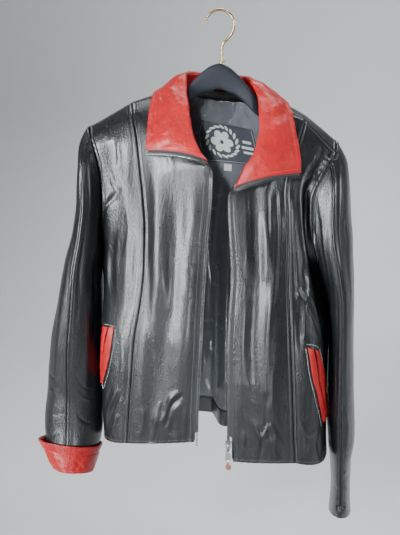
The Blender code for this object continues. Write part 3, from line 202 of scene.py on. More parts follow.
def easy_slopes(knots, values):
    """Slopes at the knots that never let the curve swing past its values."""
    wide = (slice(None),) + (None,) * (values.ndim - 1)
    chords = np.diff(values, axis=0) / np.diff(knots)[wide]
    before, after = chords[:-1], chords[1:]
    same_way = before * after > 0
    total = np.where(same_way, before + after, 1.0)
    inner = np.where(same_way, 2 * before * after / total, 0.0)
    return np.concatenate([chords[:1], inner, chords[-1:]])


def smooth_through(knots, values, at):
    """A smooth curve through values at knots, read at the places at."""
    knots = np.asarray(knots, float)
    values = np.asarray(values, float)
    at = np.asarray(at, float)
    slopes = easy_slopes(knots, values)
    low = np.clip(np.searchsorted(knots, at, side="right") - 1, 0, len(knots) - 2)
    span = knots[low + 1] - knots[low]
    part = (at - knots[low]) / span
    shape = part.shape + (1,) * (values.ndim - 1)
    s = part.reshape(shape)
    h = span.reshape(shape)
    start, end = values[low], values[low + 1]
    return ((2 * s ** 3 - 3 * s ** 2 + 1) * start + (s ** 3 - 2 * s ** 2 + s) * h * slopes[low]
            + (3 * s ** 2 - 2 * s ** 3) * end + (s ** 3 - s ** 2) * h * slopes[low + 1])


def lengths_along(points):
    """The distance along a line of points, from 0 to 1."""
    steps = np.linalg.norm(np.diff(np.asarray(points, float), axis=0), axis=1)
    travelled = np.concatenate([[0.0], np.cumsum(steps)])
    return travelled / travelled[-1]


def normals_of(points):
    """Unit normals of a grid of points, with the sense of its first axis crossed with its second."""
    along = np.gradient(points, axis=0)
    up = np.gradient(points, axis=1)
    across = np.cross(along, up)
    return across / np.maximum(np.linalg.norm(across, axis=2, keepdims=True), 1e-9)


def outward_normals(points, inside):
    """Unit normals of a grid of points that point away from the line of points called inside."""
    normals = normals_of(points)
    return normals * np.sign(np.sum(normals * (points - inside)))


def front_surface(rows, piece, u, v):
    """Points of a front's centre or side panel: u from the front edge outwards, v from the hem up."""
    table = np.array([row[1:] for row in rows], float)
    knots = lengths_along(table[:, 3:6])
    section = smooth_through(knots, table, v)
    edge, princess, flank = section[:, 0:3], section[:, 3:6], section[:, 6:9]
    bulge, roundness = section[:, 9], section[:, 10]
    u = u[:, None, None]
    if piece == "centre":
        points = edge * (1 - u) + princess * u
        points[..., 1] -= (4 * u[..., 0] * (1 - u[..., 0])) * bulge
        return points
    middle = (princess + flank) / 2
    corner = np.stack([flank[:, 0], princess[:, 1], middle[:, 2]], axis=1)
    handle = middle + (corner - middle) * roundness[:, None]
    return princess * (1 - u) ** 2 + 2 * handle * u * (1 - u) + flank * u ** 2


def back_level(row, u):
    """One level section of the back, from the right side seam (u = 0) to the left (u = 1)."""
    right, left = np.array(row[1:4], float), np.array(row[4:7], float)
    centre_y, centre_z, fold_depth = row[7:10]
    centre = np.array([(right[0] + left[0]) / 2, centre_y, centre_z])
    points = np.empty((len(u), 3))
    for index, place in enumerate(u):
        side, s = (right, place * 2) if place <= 0.5 else (left, (1 - place) * 2)
        rise = np.array([side[0], side[1] + 0.85 * (centre_y - side[1]), side[2]])
        flat = np.array([side[0] + (centre[0] - side[0]) * (1 - CENTRE_FLATNESS), centre_y, centre_z])
        points[index] = (side * (1 - s) ** 3 + 3 * rise * s * (1 - s) ** 2
                         + 3 * flat * s ** 2 * (1 - s) + centre * s ** 3)
    reach = np.clip(np.abs(points[:, 0] - BACK_FOLD_X) / BACK_FOLD_WIDTH, 0, 1)
    points[:, 1] -= fold_depth * (0.5 + 0.5 * np.cos(math.pi * reach))
    return points


def back_surface(u, v):
    """Points of the back: u from the right side seam to the left, v from the hem over the shoulder."""
    level_rows = [back_level(row, u) for row in BACK]
    shoulders = np.array([row[1:] for row in SHOULDERS], float)
    places = lengths_along(shoulders[:, [0, 5, 6]])
    top = smooth_through(places, shoulders, u)
    behind, ridge, seam = top[:, [0, 1, 2]], top[:, [0, 3, 4]], top[:, [0, 5, 6]]
    rows = np.array(level_rows + [behind, ridge, seam])
    heights = np.array(BACK_HEIGHTS, float)
    return smooth_through(heights / heights[-1], rows, v).transpose(1, 0, 2)


def armhole_loop(rows, side):
    """The armhole as (angles, points): from the underarm up the front, over, and down the back."""
    shoulder = SHOULDERS[0] if side < 0 else SHOULDERS[-1]
    columns = slice(1, 4) if side < 0 else slice(4, 7)
    loop = [(ARMHOLE_ANGLES_FRONT[row[0]], row[7:10]) for row in rows if row[0] in ARMHOLE_ANGLES_FRONT]
    loop.append((ARMHOLE_ANGLES_BACK["tip"], (shoulder[1], shoulder[4], shoulder[5])))
    loop.append((ARMHOLE_ANGLES_BACK["behind"], (shoulder[1], shoulder[2], shoulder[3])))
    for row in reversed(BACK):
        if row[0] in ARMHOLE_ANGLES_BACK:
            loop.append((ARMHOLE_ANGLES_BACK[row[0]], row[columns]))
    loop.append((loop[0][0] + 360, loop[0][1]))
    angles = np.array([angle for angle, point in loop], float)
    points = np.array([point for angle, point in loop], float)
    return angles, points


def sleeve_surface(rows, sections, side, angles, t):
    """Points of a sleeve: angles round it from the front seam outwards, t from armhole to cuff."""
    loop_angles, loop_points = armhole_loop(rows, side)
    wrapped = (angles - loop_angles[0]) % 360 + loop_angles[0]
    head = smooth_through(loop_angles, loop_points, wrapped)
    head[:, 0] += side * ARMHOLE_EASE
    table = np.array(sections, float)
    radians = np.radians(angles)
    outwards, forwards = np.sin(radians), np.cos(radians)
    points = np.empty((len(angles), len(t), 3))
    settle = 9 + 31 * (1 - outwards) / 2
    for index, place in enumerate(t):
        z = head[:, 2] * (1 - place) + table[-1, 0] * place
        section = smooth_through(-table[:, 0], table, np.maximum(-z, -table[0, 0]))
        x = section[:, 1] + side * section[:, 3] * outwards
        y = section[:, 2] - section[:, 4] * forwards
        hold = np.exp(-(head[:, 2] - z) / settle)
        points[:, index, 0] = head[:, 0] * hold + x * (1 - hold)
        points[:, index, 1] = head[:, 1] * hold + y * (1 - hold)
        points[:, index, 2] = z + section[:, 5] * section[:, 4] * forwards
    return points


def collar_frames(s):
    """At places s round the neck: the neck seam, the fold, the leaf's edge and roll, and two directions."""
    table = np.array([row[1:] for row in COLLAR], float)
    stations = smooth_through(lengths_along(table[:, 3:6]), table, s)
    neck, fold, edge, roll = stations[:, 0:3], stations[:, 3:6], stations[:, 6:9], stations[:, 9:10]
    leaf = edge - fold
    proud = np.cross(np.gradient(fold, axis=0), leaf)
    proud /= np.linalg.norm(proud, axis=1, keepdims=True)
    outwards = leaf / np.linalg.norm(leaf, axis=1, keepdims=True)
    return neck - proud * (FOLD_RADIUS - 0.5), fold, edge, roll, proud, outwards


def collar_surface(s, t):
    """The collar's upper face: s round the neck, t from the neck seam over the fold to the edge."""
    neck, fold, edge, roll, proud, outwards = collar_frames(s)
    leaf = edge - fold
    turn = fold + outwards * FOLD_RADIUS
    bend = 0.7 * FOLD_RADIUS
    profile = np.array([neck, (neck + turn - proud * FOLD_RADIUS) / 2, turn - proud * FOLD_RADIUS,
                        turn - proud * bend - outwards * bend, fold,
                        turn + proud * bend - outwards * bend, turn + proud * FOLD_RADIUS,
                        fold + leaf * 0.35 + proud * (roll + 1.5), fold + leaf * 0.7 + proud * roll * 0.7,
                        edge])
    places = np.array([0, 0.09, 0.18, 0.215, 0.25, 0.285, 0.32, 0.52, 0.77, 1.0])
    points = smooth_through(places, profile, t).transpose(1, 0, 2)
    near_end = np.exp(-np.minimum(s, 1 - s) / 0.06)
    arch = np.sin(math.pi * np.clip((t - 0.25) / 0.75, 0, 1) ** 0.75)
    points[..., 2] += END_ARCH * near_end[:, None] * arch
    return points


def nearest_on(line, points):
    """For each point, the nearest point of a finely sampled line."""
    distances = np.linalg.norm(points[:, None, :] - line[None, :, :], axis=2)
    return line[np.argmin(distances, axis=1)]


NECK_SEAM = collar_frames(np.linspace(0, 1, 801))[0]


def fit_edge(points, neighbours, line, gap):
    """Moves a row of edge points onto a line, then back by gap the way their neighbours lie."""
    back = neighbours - points
    return nearest_on(line, points) + back / np.linalg.norm(back, axis=1, keepdims=True) * gap


def front_centre(rows, u, v):
    """The centre front, its top edge fitted to the collar's neck seam."""
    points = front_surface(rows, "centre", u, v)
    fitted = front_surface(rows, "centre", np.array([0.0, 0.05]), v)
    edge, inner = fitted[0], fitted[1]
    names = [row[0] for row in rows]
    knots = lengths_along([row[4:7] for row in rows])
    start = knots[names.index("break")]
    part = np.clip((v - start) / (0.3 * (knots[names.index("neck")] - start)), 0, 1)[:, None]
    near_end = np.clip(1 - (v - start) / (knots[names.index("neck")] - start), 0, 1)[:, None]
    shift = (fit_edge(edge, inner, NECK_SEAM, NECK_GAP + COLLAR_END_GAP * near_end) - edge) * part
    return points + shift[None] * ((1 - u) ** 2)[:, None, None]


def shoulder_line():
    """The line that the back's top edge is sewn to: shoulder seam, neck seam, shoulder seam."""
    along = np.linspace(0, 1, 60)
    top = np.array([1.0])
    right = [front_surface(FRONT_RIGHT, piece, along, top)[:, 0] for piece in ("side", "centre")]
    left = [front_surface(FRONT_LEFT, piece, along, top)[:, 0] for piece in ("centre", "side")]
    right_end, left_end = right[1][0], left[0][0]
    first = np.argmin(np.linalg.norm(NECK_SEAM - right_end, axis=1))
    last = np.argmin(np.linalg.norm(NECK_SEAM - left_end, axis=1))
    return np.concatenate([right[0][::-1], right[1][::-1], NECK_SEAM[first:last], left[0], left[1]])


def back_panel(u, v):
    """The back, its top edge fitted to the shoulder seams and the neck seam."""
    points = back_surface(u, v)
    ends = back_surface(u, np.array([0.985, 1.0]))
    shift = fit_edge(ends[:, 1], ends[:, 0], shoulder_line(), NECK_GAP) - ends[:, 1]
    near_top = np.clip((v - 0.93) / 0.07, 0, 1)
    return points + shift[:, None, :] * near_top[None, :, None]


# --- folds: soft ridges (+) and troughs (-) of the cloth, a row for each ------------------------
# piece, u at the lower end, u at the upper end, v from, v to, half width in u, height
FOLDS = [
    ("front_centre_right", 0.50, 0.46, 0.10, 0.80, 0.16, -5.0),
    ("front_centre_right", 0.16, 0.20, 0.05, 0.62, 0.13, 2.5),
    ("front_centre_right", 0.80, 0.76, 0.05, 0.95, 0.13, 3.0),
    ("front_side_right", 0.42, 0.50, 0.30, 0.90, 0.22, -5.0),
    ("front_side_right", 0.22, 0.20, 0.35, 0.90, 0.16, 2.0),
    ("front_centre_left", 0.62, 0.60, 0.55, 0.92, 0.12, 4.0),
    ("front_centre_left", 0.30, 0.40, 0.25, 0.85, 0.18, -5.0),
    ("front_centre_left", 0.55, 0.75, 0.02, 0.50, 0.16, 3.5),
    ("front_side_left", 0.78, 0.70, 0.42, 0.98, 0.20, -11.0),
    ("front_side_left", 0.30, 0.35, 0.20, 0.70, 0.20, 3.0),
    ("back", 0.14, 0.17, 0.02, 0.72, 0.045, 4.0),
    ("back", 0.28, 0.27, 0.02, 0.80, 0.050, -4.0),
    ("back", 0.74, 0.72, 0.02, 0.78, 0.050, -4.0),
    ("back", 0.87, 0.84, 0.02, 0.70, 0.045, 4.0),
]


def fold_heights(piece, u, v):
    """How far the folds of a piece lift its surface at each place of a grid."""
    lift = np.zeros((len(u), len(v)))
    for name, u_low, u_high, v_from, v_to, width, height in FOLDS:
        if name != piece:
            continue
        along = np.clip((v - v_from) / (v_to - v_from), 0, 1)
        fade = np.sin(math.pi * along) ** 0.7
        centre = u_low + (u_high - u_low) * along
        lift += height * fade[None, :] * np.exp(-((u[:, None] - centre[None, :]) / width) ** 2)
    return lift


def opened(edge, neighbours, gap):
    """A row of edge points moved towards their neighbours, square to the edge, by gap."""
    along = np.gradient(edge, axis=0)
    along /= np.maximum(np.linalg.norm(along, axis=1, keepdims=True), 1e-9)
    step = neighbours - edge
    step -= along * np.sum(step * along, axis=1, keepdims=True)
    return edge + step / np.linalg.norm(step, axis=1, keepdims=True) * gap


def pulled_in(points, gap, start=True, end=True, axis=0):
    """The grid with its first and last lines moved in by gap, so that a seam is left open there."""
    moved = np.array(points, float) if axis == 0 else np.array(points, float).transpose(1, 0, 2)
    if start:
        moved[0] = opened(moved[0], moved[1], gap)
    if end:
        moved[-1] = opened(moved[-1], moved[-2], gap)
    return moved if axis == 0 else moved.transpose(1, 0, 2)


def with_folds(points, piece, u, v, inside):
    """The grid with the piece's folds raised and sunk."""
    return points + outward_normals(points, inside) * fold_heights(piece, u, v)[..., None]


def hang(points):
    """The jacket's lean on its hook: Z drops along +X."""
    leaned = np.array(points, float)
    leaned[..., 2] -= LEAN * leaned[..., 0]
    return leaned


def body_axis(points):
    """Points inside the jacket's trunk, level with each point."""
    axis = np.array(points, float)
    axis[..., 0] *= 0.3
    axis[..., 1] = -18
    return axis


FRONTS = {"right": FRONT_RIGHT, "left": FRONT_LEFT}
SLEEVES = {"right": (-1, FRONT_RIGHT, SLEEVE_RIGHT), "left": (1, FRONT_LEFT, SLEEVE_LEFT)}


def front_points(tag, piece, u, v):
    """A front's centre or side panel with its main folds."""
    rows = FRONTS[tag]
    points = front_centre(rows, u, v) if piece == "centre" else front_surface(rows, "side", u, v)
    return with_folds(points, "front_%s_%s" % (piece, tag), u, v, body_axis(points))


def back_points(u, v):
    """The back with its main folds."""
    points = back_panel(u, v)
    return with_folds(points, "back", u, v, body_axis(points))


def lining_points(u, v, depth):
    """The back's inner side: its own points moved in by depth, and a little more over the fold."""
    points = back_points(u, v)
    over_fold = np.exp(-((points[..., :1] - BACK_FOLD_X) / (0.7 * BACK_FOLD_WIDTH)) ** 2)
    return points - outward_normals(points, body_axis(points)) * (depth + FOLD_EASE * over_fold)


# --- cloth --------------------------------------------------------------------------------------

PANELS = {}


def unit(vectors):
    return vectors / np.maximum(np.linalg.norm(vectors, axis=-1, keepdims=True), 1e-9)


def distances(points, axis):
    """How far along its line each point of a grid lies, in millimetres."""
    steps = np.linalg.norm(np.diff(points, axis=axis), axis=2)
    zero = np.zeros_like(steps[:1]) if axis == 0 else np.zeros_like(steps[:, :1])
    return np.concatenate([zero, np.cumsum(steps, axis=axis)], axis=axis)


def trimmed(points, amount, start=True, end=True, axis=0):
    """The grid with its lines read again, so that they begin and end that much further in."""
    if axis == 1:
        return trimmed(points.transpose(1, 0, 2), amount, start, end).transpose(1, 0, 2)
    across = distances(points, 0)
    read = np.empty_like(points)
    for k in range(points.shape[1]):
        line = across[:, k]
        low, high = (amount if start else 0.0), line[-1] - (amount if end else 0.0)
        places = low + (high - low) * line / line[-1]
        for c in range(3):
            read[:, k, c] = np.interp(places, line, points[:, k, c])
    return read


def spread(length, step, fine=(True, True)):
    """Places from 0 to 1 along a length, closer together at the ends named fine."""
    near = np.array([0, 0.9, 1.8, 2.7, 3.6, 4.6, 5.8, 7.4]) / length
    low, high = (near if fine[0] else near[:1]), (1 - near[::-1] if fine[1] else 1 - near[:1])
    count = max(2, int(round((high[0] - low[-1]) * length / step)))
    return np.concatenate([low, np.linspace(low[-1], high[0], count + 1)[1:-1], high])


def waves(points, length, seed, count=8):
    """Soft uneven waves of about that length over a grid of points, from about -1 to 1."""
    chance = np.random.default_rng(seed)
    total = np.zeros(points.shape[:-1])
    for _ in range(count):
        direction = unit(chance.normal(size=3))
        turn = 2 * math.pi / (length * chance.uniform(0.7, 1.6))
        total += np.sin(points @ direction * turn + chance.uniform(0, 2 * math.pi))
    return total / math.sqrt(count)


def read_grid(grid, u, v, at_u, at_v):
    """Points of a grid read between its lines, at pairs of places."""
    at_u, at_v = np.asarray(at_u, float), np.asarray(at_v, float)
    low_u = np.clip(np.searchsorted(u, at_u, side="right") - 1, 0, len(u) - 2)
    low_v = np.clip(np.searchsorted(v, at_v, side="right") - 1, 0, len(v) - 2)
    part_u = ((at_u - u[low_u]) / (u[low_u + 1] - u[low_u]))[..., None]
    part_v = ((at_v - v[low_v]) / (v[low_v + 1] - v[low_v]))[..., None]
    lower = grid[low_u, low_v] * (1 - part_u) + grid[low_u + 1, low_v] * part_u
    upper = grid[low_u, low_v + 1] * (1 - part_u) + grid[low_u + 1, low_v + 1] * part_u
    return lower * (1 - part_v) + upper * part_v


def crease_lift(points, normals, u, v, creases):
    """How far the creases of a piece lift each point of its grid, in millimetres."""
    lift = np.zeros(points.shape[:2])
    for index, (line, width, height, kind) in enumerate(creases):
        line = np.array(line, float)
        knots = np.linspace(0, 1, len(line))
        places = smooth_through(knots, line, np.linspace(0, 1, 48))
        track = read_grid(points, u, v, np.clip(places[:, 0], u[0], u[-1]), np.clip(places[:, 1], v[0], v[-1]))
        reach = 4.0 * width
        low, high = track.min(axis=0) - reach, track.max(axis=0) + reach
        near = np.all((points > low) & (points < high), axis=2)
        if not near.any():
            continue
        chosen = points[near]
        apart = chosen[:, None, :] - track[None, :, :]
        length = np.linalg.norm(apart, axis=2)
        nearest = np.argmin(length, axis=1)
        row = np.arange(len(chosen))
        run = unit(np.gradient(track, axis=0))[nearest]
        gap = apart[row, nearest]
        past = np.sum(gap * run, axis=1)
        step = np.linalg.norm(np.diff(track, axis=0), axis=1).mean()
        past = np.clip(past, -0.6 * step, 0.6 * step)
        away = np.linalg.norm(gap - run * past[:, None], axis=1)
        along = (nearest + past / step) / (len(track) - 1)
        side = np.sign(np.sum(np.cross(run, gap) * normals[near], axis=1))
        wander = np.sin(along * (7 + index % 5) + index * 1.7)
        swell = 1 + 0.28 * wander
        fade = np.sin(math.pi * np.clip(along, 0, 1)) ** 0.65
        d = away / (width * (1 + 0.25 * np.sin(along * 9 + index)))
        if kind == "soft":
            form = np.exp(-d ** 2)
        elif kind == "pinch":
            form = (1 + 1.6 * d ** 2) ** -1.6
        else:
            form = side * d * np.exp(0.5 - 0.5 * d ** 2) * 1.3
        lift[near] += height * swell * fade * form
    return lift


def edge_wave(points, axis, end, amplitude, period, reach, seed):
    """The puckers beside a seam: short waves along it that die away from it."""
    chance = np.random.default_rng(seed)
    across = distances(points, axis)
    away = across if not end else (across[-1:] if axis == 0 else across[:, -1:]) - across
    along = distances(points, 1 - axis)
    line = (along[-1 if end else 0][None, :] if axis == 0 else along[:, -1 if end else 0][:, None])
    phase = 2.2 * np.sin(line / (period * 3.3) + chance.uniform(0, 6))
    phase += 1.3 * np.sin(line / (period * 1.9) + chance.uniform(0, 6))
    strength = 0.65 + 0.35 * np.sin(line / (period * 2.7) + chance.uniform(0, 6))
    return amplitude * strength * np.sin(2 * math.pi * line / period + phase) * np.exp(-(away / reach) ** 1.3)


def edge_roll(points, axis, end):
    """The edge of a sewn panel: puffed over its turned-in allowance, and drawn in by its stitch line."""
    across = distances(points, axis)
    away = across if not end else (across[-1:] if axis == 0 else across[:, -1:]) - across
    puff = 0.45 * np.exp(-((away - 2.4) / 1.5) ** 2)
    stitch = -0.35 * np.exp(-((away - 5.2) / 1.2) ** 2)
    return puff + stitch


SEAM = [(0.35, 0.35), (0.50, 0.95), (0.40, 1.45)]
UNDERLAP = [(0.35, 0.35), (0.50, 1.05), (0.60, 1.80), (2.6, 2.05), (4.8, 2.15)]
SHOULDER = [(0.35, 0.60), (0.50, 1.40), (0.60, 2.20), (2.4, 3.0)]
HEM = [(0.75, 0.3), (1.2, 1.2), (1.05, 2.3), (0.0, 2.9), (-9.0, 3.0), (-24.0, 3.1)]
EDGE = [(0.6, 0.3), (0.9, 1.1), (0.6, 2.1), (-0.6, 2.6), (-10.0, 2.8)]


def turn_edge(points, inward, axis, end, profile, ease=None, short=None):
    """The grid with its edge turned in: profile rows are (beyond the edge, depth), from the edge on.

    A row that lies back under the cloth follows it. The depth shrinks by ease and the reach beyond
    the edge by short, one number each for every point of the edge."""
    if axis == 1:
        p, i = turn_edge(points.transpose(1, 0, 2), inward.transpose(1, 0, 2), 0, end, profile, ease, short)
        return p.transpose(1, 0, 2), i.transpose(1, 0, 2)
    edge, inner = (points[-1], points[-5]) if end else (points[0], points[4])
    along = unit(np.gradient(edge, axis=0))
    beyond = edge - inner
    beyond = unit(beyond - along * np.sum(beyond * along, axis=1, keepdims=True))
    down = inward[-1] if end else inward[0]
    less = np.ones((len(edge), 1)) if ease is None else ease[:, None]
    keep = np.ones((len(edge), 1)) if short is None else short[:, None]
    cloth, under = (points[::-1], inward[::-1]) if end else (points, inward)
    across = distances(cloth, 0)
    rows, downs = [], []
    for b, d in profile:
        if b < 0:
            back = np.array([[np.interp(-b, across[:, k], cloth[:, k, c]) for c in range(3)]
                             for k in range(len(edge))])
            deep = np.array([[np.interp(-b, across[:, k], under[:, k, c]) for c in range(3)]
                             for k in range(len(edge))])
            rows.append(back + deep * d * less)
            downs.append(deep)
        else:
            rows.append(edge + beyond * (min(b, 0.6) + max(b - 0.6, 0.0) * keep) + down * d * less)
            downs.append(down)
    rows, downs = np.array(rows), np.array(downs)
    if end:
        return np.concatenate([points, rows]), np.concatenate([inward, downs])
    return np.concatenate([rows[::-1], points]), np.concatenate([downs[::-1], inward])


def grid_faces(count_u, count_v, closed, flipped):
    """Quads of a grid; closed joins its last column to its first."""
    columns = count_u if closed else count_u - 1
    i, j = np.meshgrid(np.arange(columns), np.arange(count_v - 1), indexing="ij")
    following = (i + 1) % count_u
    quads = np.stack([i * count_v + j, following * count_v + j, following * count_v + j + 1, i * count_v + j + 1],
                     axis=2).reshape(-1, 4)
    return quads[:, ::-1] if flipped else quads


def dressed_name(name):
    """A piece that stands for a solid of the same name is told apart from it."""
    return name + "_dressed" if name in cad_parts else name


def new_object(name, vertices, faces, material, body="jacket", smooth=True, angle=50):
    """A mesh object in the shared frame, from points in metres, that rides on a body."""
    mesh = bpy.data.meshes.new(name)
    mesh.from_pydata(np.asarray(vertices).tolist(), [], np.asarray(faces).tolist() if isinstance(faces, np.ndarray)
                     else faces)
    mesh.validate()
    mesh.materials.append(material)
    if smooth:
        mesh.shade_smooth()
        if angle:
            mesh.set_sharp_from_angle(angle=math.radians(angle))
    thing = bpy.data.objects.new(dressed_name(name), mesh)
    bpy.context.scene.collection.objects.link(thing)
    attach(thing, body)
    return thing


def shell(name, points, inward, thickness, material, nodes, closed=False):
    """A thin shell of cloth over a grid of points, thickened inwards, that stands for CAD nodes."""
    ring = np.concatenate([points, points[:1]]) if closed else points
    normals = normals_of(ring)[:len(points)]
    flipped = np.sum(normals * inward) > 0
    vertices = (hang(points) * MM).reshape(-1, 3)
    faces = grid_faces(points.shape[0], points.shape[1], closed, flipped)
    thing = new_object(name, vertices, faces, material, angle=0)
    solidify = thing.modifiers.new("wall", "SOLIDIFY")
    solidify.thickness = thickness * MM
    solidify.offset = -1.0
    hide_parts(*nodes)
    return thing


def sewn_panel(name, points, inward, u, v, edges, creases=(), puckers=(), thickness=1.1, material=None,
               nodes=None, ripple=(0.12, 60), hold=None, seed=1, closed=False,
               narrow=0.0):
    """A panel with its creases, puckers and turned edges. Its flat grid is kept for the stitches."""
    lift = crease_lift(points, -inward, u, v, creases)
    lift += ripple[0] * waves(points, ripple[1], seed) + 0.4 * ripple[0] * waves(points, ripple[1] * 0.38, seed + 50)
    if hold is not None:
        lift *= hold
    for axis, end, amplitude, period, reach in puckers:
        lift += edge_wave(points, axis, end, amplitude, period, reach, seed + 7 * axis + 3 * end)
    for (axis, end), profile in edges.items():
        if profile is SEAM or profile is UNDERLAP:
            lift += edge_roll(points, axis, end)
    final = points - inward * lift[..., None]
    PANELS[name] = {"points": final, "inward": inward, "u": u, "v": v}
    grid, down = final, inward
    for (axis, end), profile in sorted(edges.items(), key=lambda item: -item[0][0]):
        along = distances(grid, 1 - axis)
        along = along[:, -1 if end else 0] if axis == 1 else along[-1 if end else 0]
        corner = np.minimum(along, along[-1] - along)
        short = None if closed else np.clip((corner - 2.0) / 14.0, 0.0, 1.0)
        ease = np.clip(corner / narrow, 0.12, 1.0) if narrow and axis == 1 else None
        grid, down = turn_edge(grid, down, axis, end, profile, ease, short)
    return shell(name, grid, down, thickness, material, nodes or [name], closed)


# --- stitches -----------------------------------------------------------------------------------

STITCHES = {}


def edge_track(name, axis, end, away, start=0.0, stop=1.0):
    """A line on a piece at a distance from one of its edges, with the piece's normals there."""
    panel = PANELS[name]
    points, out = panel["points"], -panel["inward"]
    if axis == 1:
        points, out = points.transpose(1, 0, 2), out.transpose(1, 0, 2)
    if end:
        points, out = points[::-1], out[::-1]
    across = distances(points, 0)
    count = points.shape[1]
    first, last = int(start * (count - 1)), int(stop * (count - 1))
    track, normals = [], []
    for k in range(first, last + 1):
        track.append([np.interp(away, across[:, k], points[:, k, c]) for c in range(3)])
        normals.append([np.interp(away, across[:, k], out[:, k, c]) for c in range(3)])
    return np.array(track), unit(np.array(normals))


def placed_track(name, places):
    """A line on a piece through pairs of its own places, with the piece's normals there."""
    panel = PANELS[name]
    places = np.array(places, float)
    fine = smooth_through(np.linspace(0, 1, len(places)), places, np.linspace(0, 1, 24 * len(places)))
    track = read_grid(panel["points"], panel["u"], panel["v"], fine[:, 0], fine[:, 1])
    return track, unit(read_grid(-panel["inward"], panel["u"], panel["v"], fine[:, 0], fine[:, 1]))


def sew(thread, track, normals, pitch=3.1, length=2.1, width=0.55, height=0.34, slant=0.0):
    """Keeps a row of stitches along a line for a kind of thread."""
    travelled = np.concatenate([[0], np.cumsum(np.linalg.norm(np.diff(track, axis=0), axis=1))])
    places = np.arange(pitch * 0.6, travelled[-1] - pitch * 0.4, pitch)
    if len(places) < 2:
        return
    at = np.array([np.interp(places, travelled, column) for column in track.T]).T
    out = unit(np.array([np.interp(places, travelled, column) for column in normals.T]).T)
    run = unit(np.gradient(at, axis=0))
    side = unit(np.cross(run, out))
    run = unit(run + side * slant)
    side = unit(np.cross(run, out))
    corners = []
    for a, b, c in ((-0.5, -1, -0.25), (0.5, -1, -0.25), (0.5, 1, -0.25), (-0.5, 1, -0.25),
                    (-0.34, -0.6, 1), (0.34, -0.6, 1), (0.34, 0.6, 1), (-0.34, 0.6, 1)):
        corners.append(at + run * a * length + side * b * width / 2 + out * c * height)
    STITCHES.setdefault(thread, []).append(np.array(corners).transpose(1, 0, 2))


# --- materials ----------------------------------------------------------------------------------

def new_material(name, colour, roughness, metallic=0.0):
    """A material with its object coordinates, ready for more nodes."""
    material = bpy.data.materials.new(name)
    material.use_nodes = True
    tree = material.node_tree
    shader = tree.nodes["Principled BSDF"]
    shader.inputs["Base Color"].default_value = (*colour, 1.0)
    shader.inputs["Roughness"].default_value = roughness
    shader.inputs["Metallic"].default_value = metallic
    place = tree.nodes.new("ShaderNodeTexCoord").outputs["Object"]
    return material, tree, shader, place


def noise(tree, place, scale, detail=3.0, roughness=0.55, distortion=0.0):
    node = tree.nodes.new("ShaderNodeTexNoise")
    node.inputs["Scale"].default_value = scale
    node.inputs["Detail"].default_value = detail
    node.inputs["Roughness"].default_value = roughness
    node.inputs["Distortion"].default_value = distortion
    tree.links.new(place, node.inputs["Vector"])
    return node.outputs["Fac"]


def cells(tree, place, scale, feature="F1"):
    node = tree.nodes.new("ShaderNodeTexVoronoi")
    node.feature = feature
    node.inputs["Scale"].default_value = scale
    tree.links.new(place, node.inputs["Vector"])
    return node.outputs["Distance"]


def ramp(tree, value, stops):
    """A colour ramp; stops are (place, colour or grey)."""
    node = tree.nodes.new("ShaderNodeValToRGB")
    band = node.color_ramp
    while len(band.elements) < len(stops):
        band.elements.new(0.5)
    for element, (position, colour) in zip(band.elements, stops):
        element.position = position
        element.color = (*colour, 1.0) if hasattr(colour, "__len__") else (colour, colour, colour, 1.0)
    tree.links.new(value, node.inputs["Fac"])
    return node.outputs["Color"]


def span(tree, value, low, high, to_low, to_high):
    node = tree.nodes.new("ShaderNodeMapRange")
    for key, number in (("From Min", low), ("From Max", high), ("To Min", to_low), ("To Max", to_high)):
        node.inputs[key].default_value = number
    tree.links.new(value, node.inputs["Value"])
    return node.outputs["Result"]


def stretched(tree, place, scale):
    node = tree.nodes.new("ShaderNodeMapping")
    node.inputs["Scale"].default_value = scale
    tree.links.new(place, node.inputs["Vector"])
    return node.outputs["Vector"]


def bumps(tree, shader, layers):
    """Bump nodes one after another; layers are (height, strength, distance in metres)."""
    normal = None
    for height, strength, distance in layers:
        node = tree.nodes.new("ShaderNodeBump")
        node.inputs["Strength"].default_value = strength
        node.inputs["Distance"].default_value = distance
        tree.links.new(height, node.inputs["Height"])
        if normal is not None:
            tree.links.new(normal, node.inputs["Normal"])
        normal = node.outputs["Normal"]
    tree.links.new(normal, shader.inputs["Normal"])


def leather_material(name, dark, pale, gloss, coat, grain=1.0):
    """Grained, lightly worn leather."""
    material, tree, shader, place = new_material(name, dark, 0.4)
    mottle = noise(tree, place, 34.0, 5.0, 0.6)
    tree.links.new(ramp(tree, mottle, [(0.30, dark), (0.72, pale)]), shader.inputs["Base Color"])
    tree.links.new(span(tree, noise(tree, place, 240.0, 4.0), 0.3, 0.7, gloss[0], gloss[1]),
                   shader.inputs["Roughness"])
    shader.inputs["Coat Weight"].default_value = coat[0]
    shader.inputs["Coat Roughness"].default_value = coat[1]
    bumps(tree, shader, [(cells(tree, place, 620.0, "SMOOTH_F1"), 0.45 * grain, 0.0005),
                         (noise(tree, place, 260.0, 4.0, 0.6), 0.36 * grain, 0.0008),
                         (noise(tree, stretched(tree, place, (1.5, 1.0, 0.5)), 120.0, 2.0, 0.5, 1.2), 0.20 * grain,
                          0.0016)])
    return material


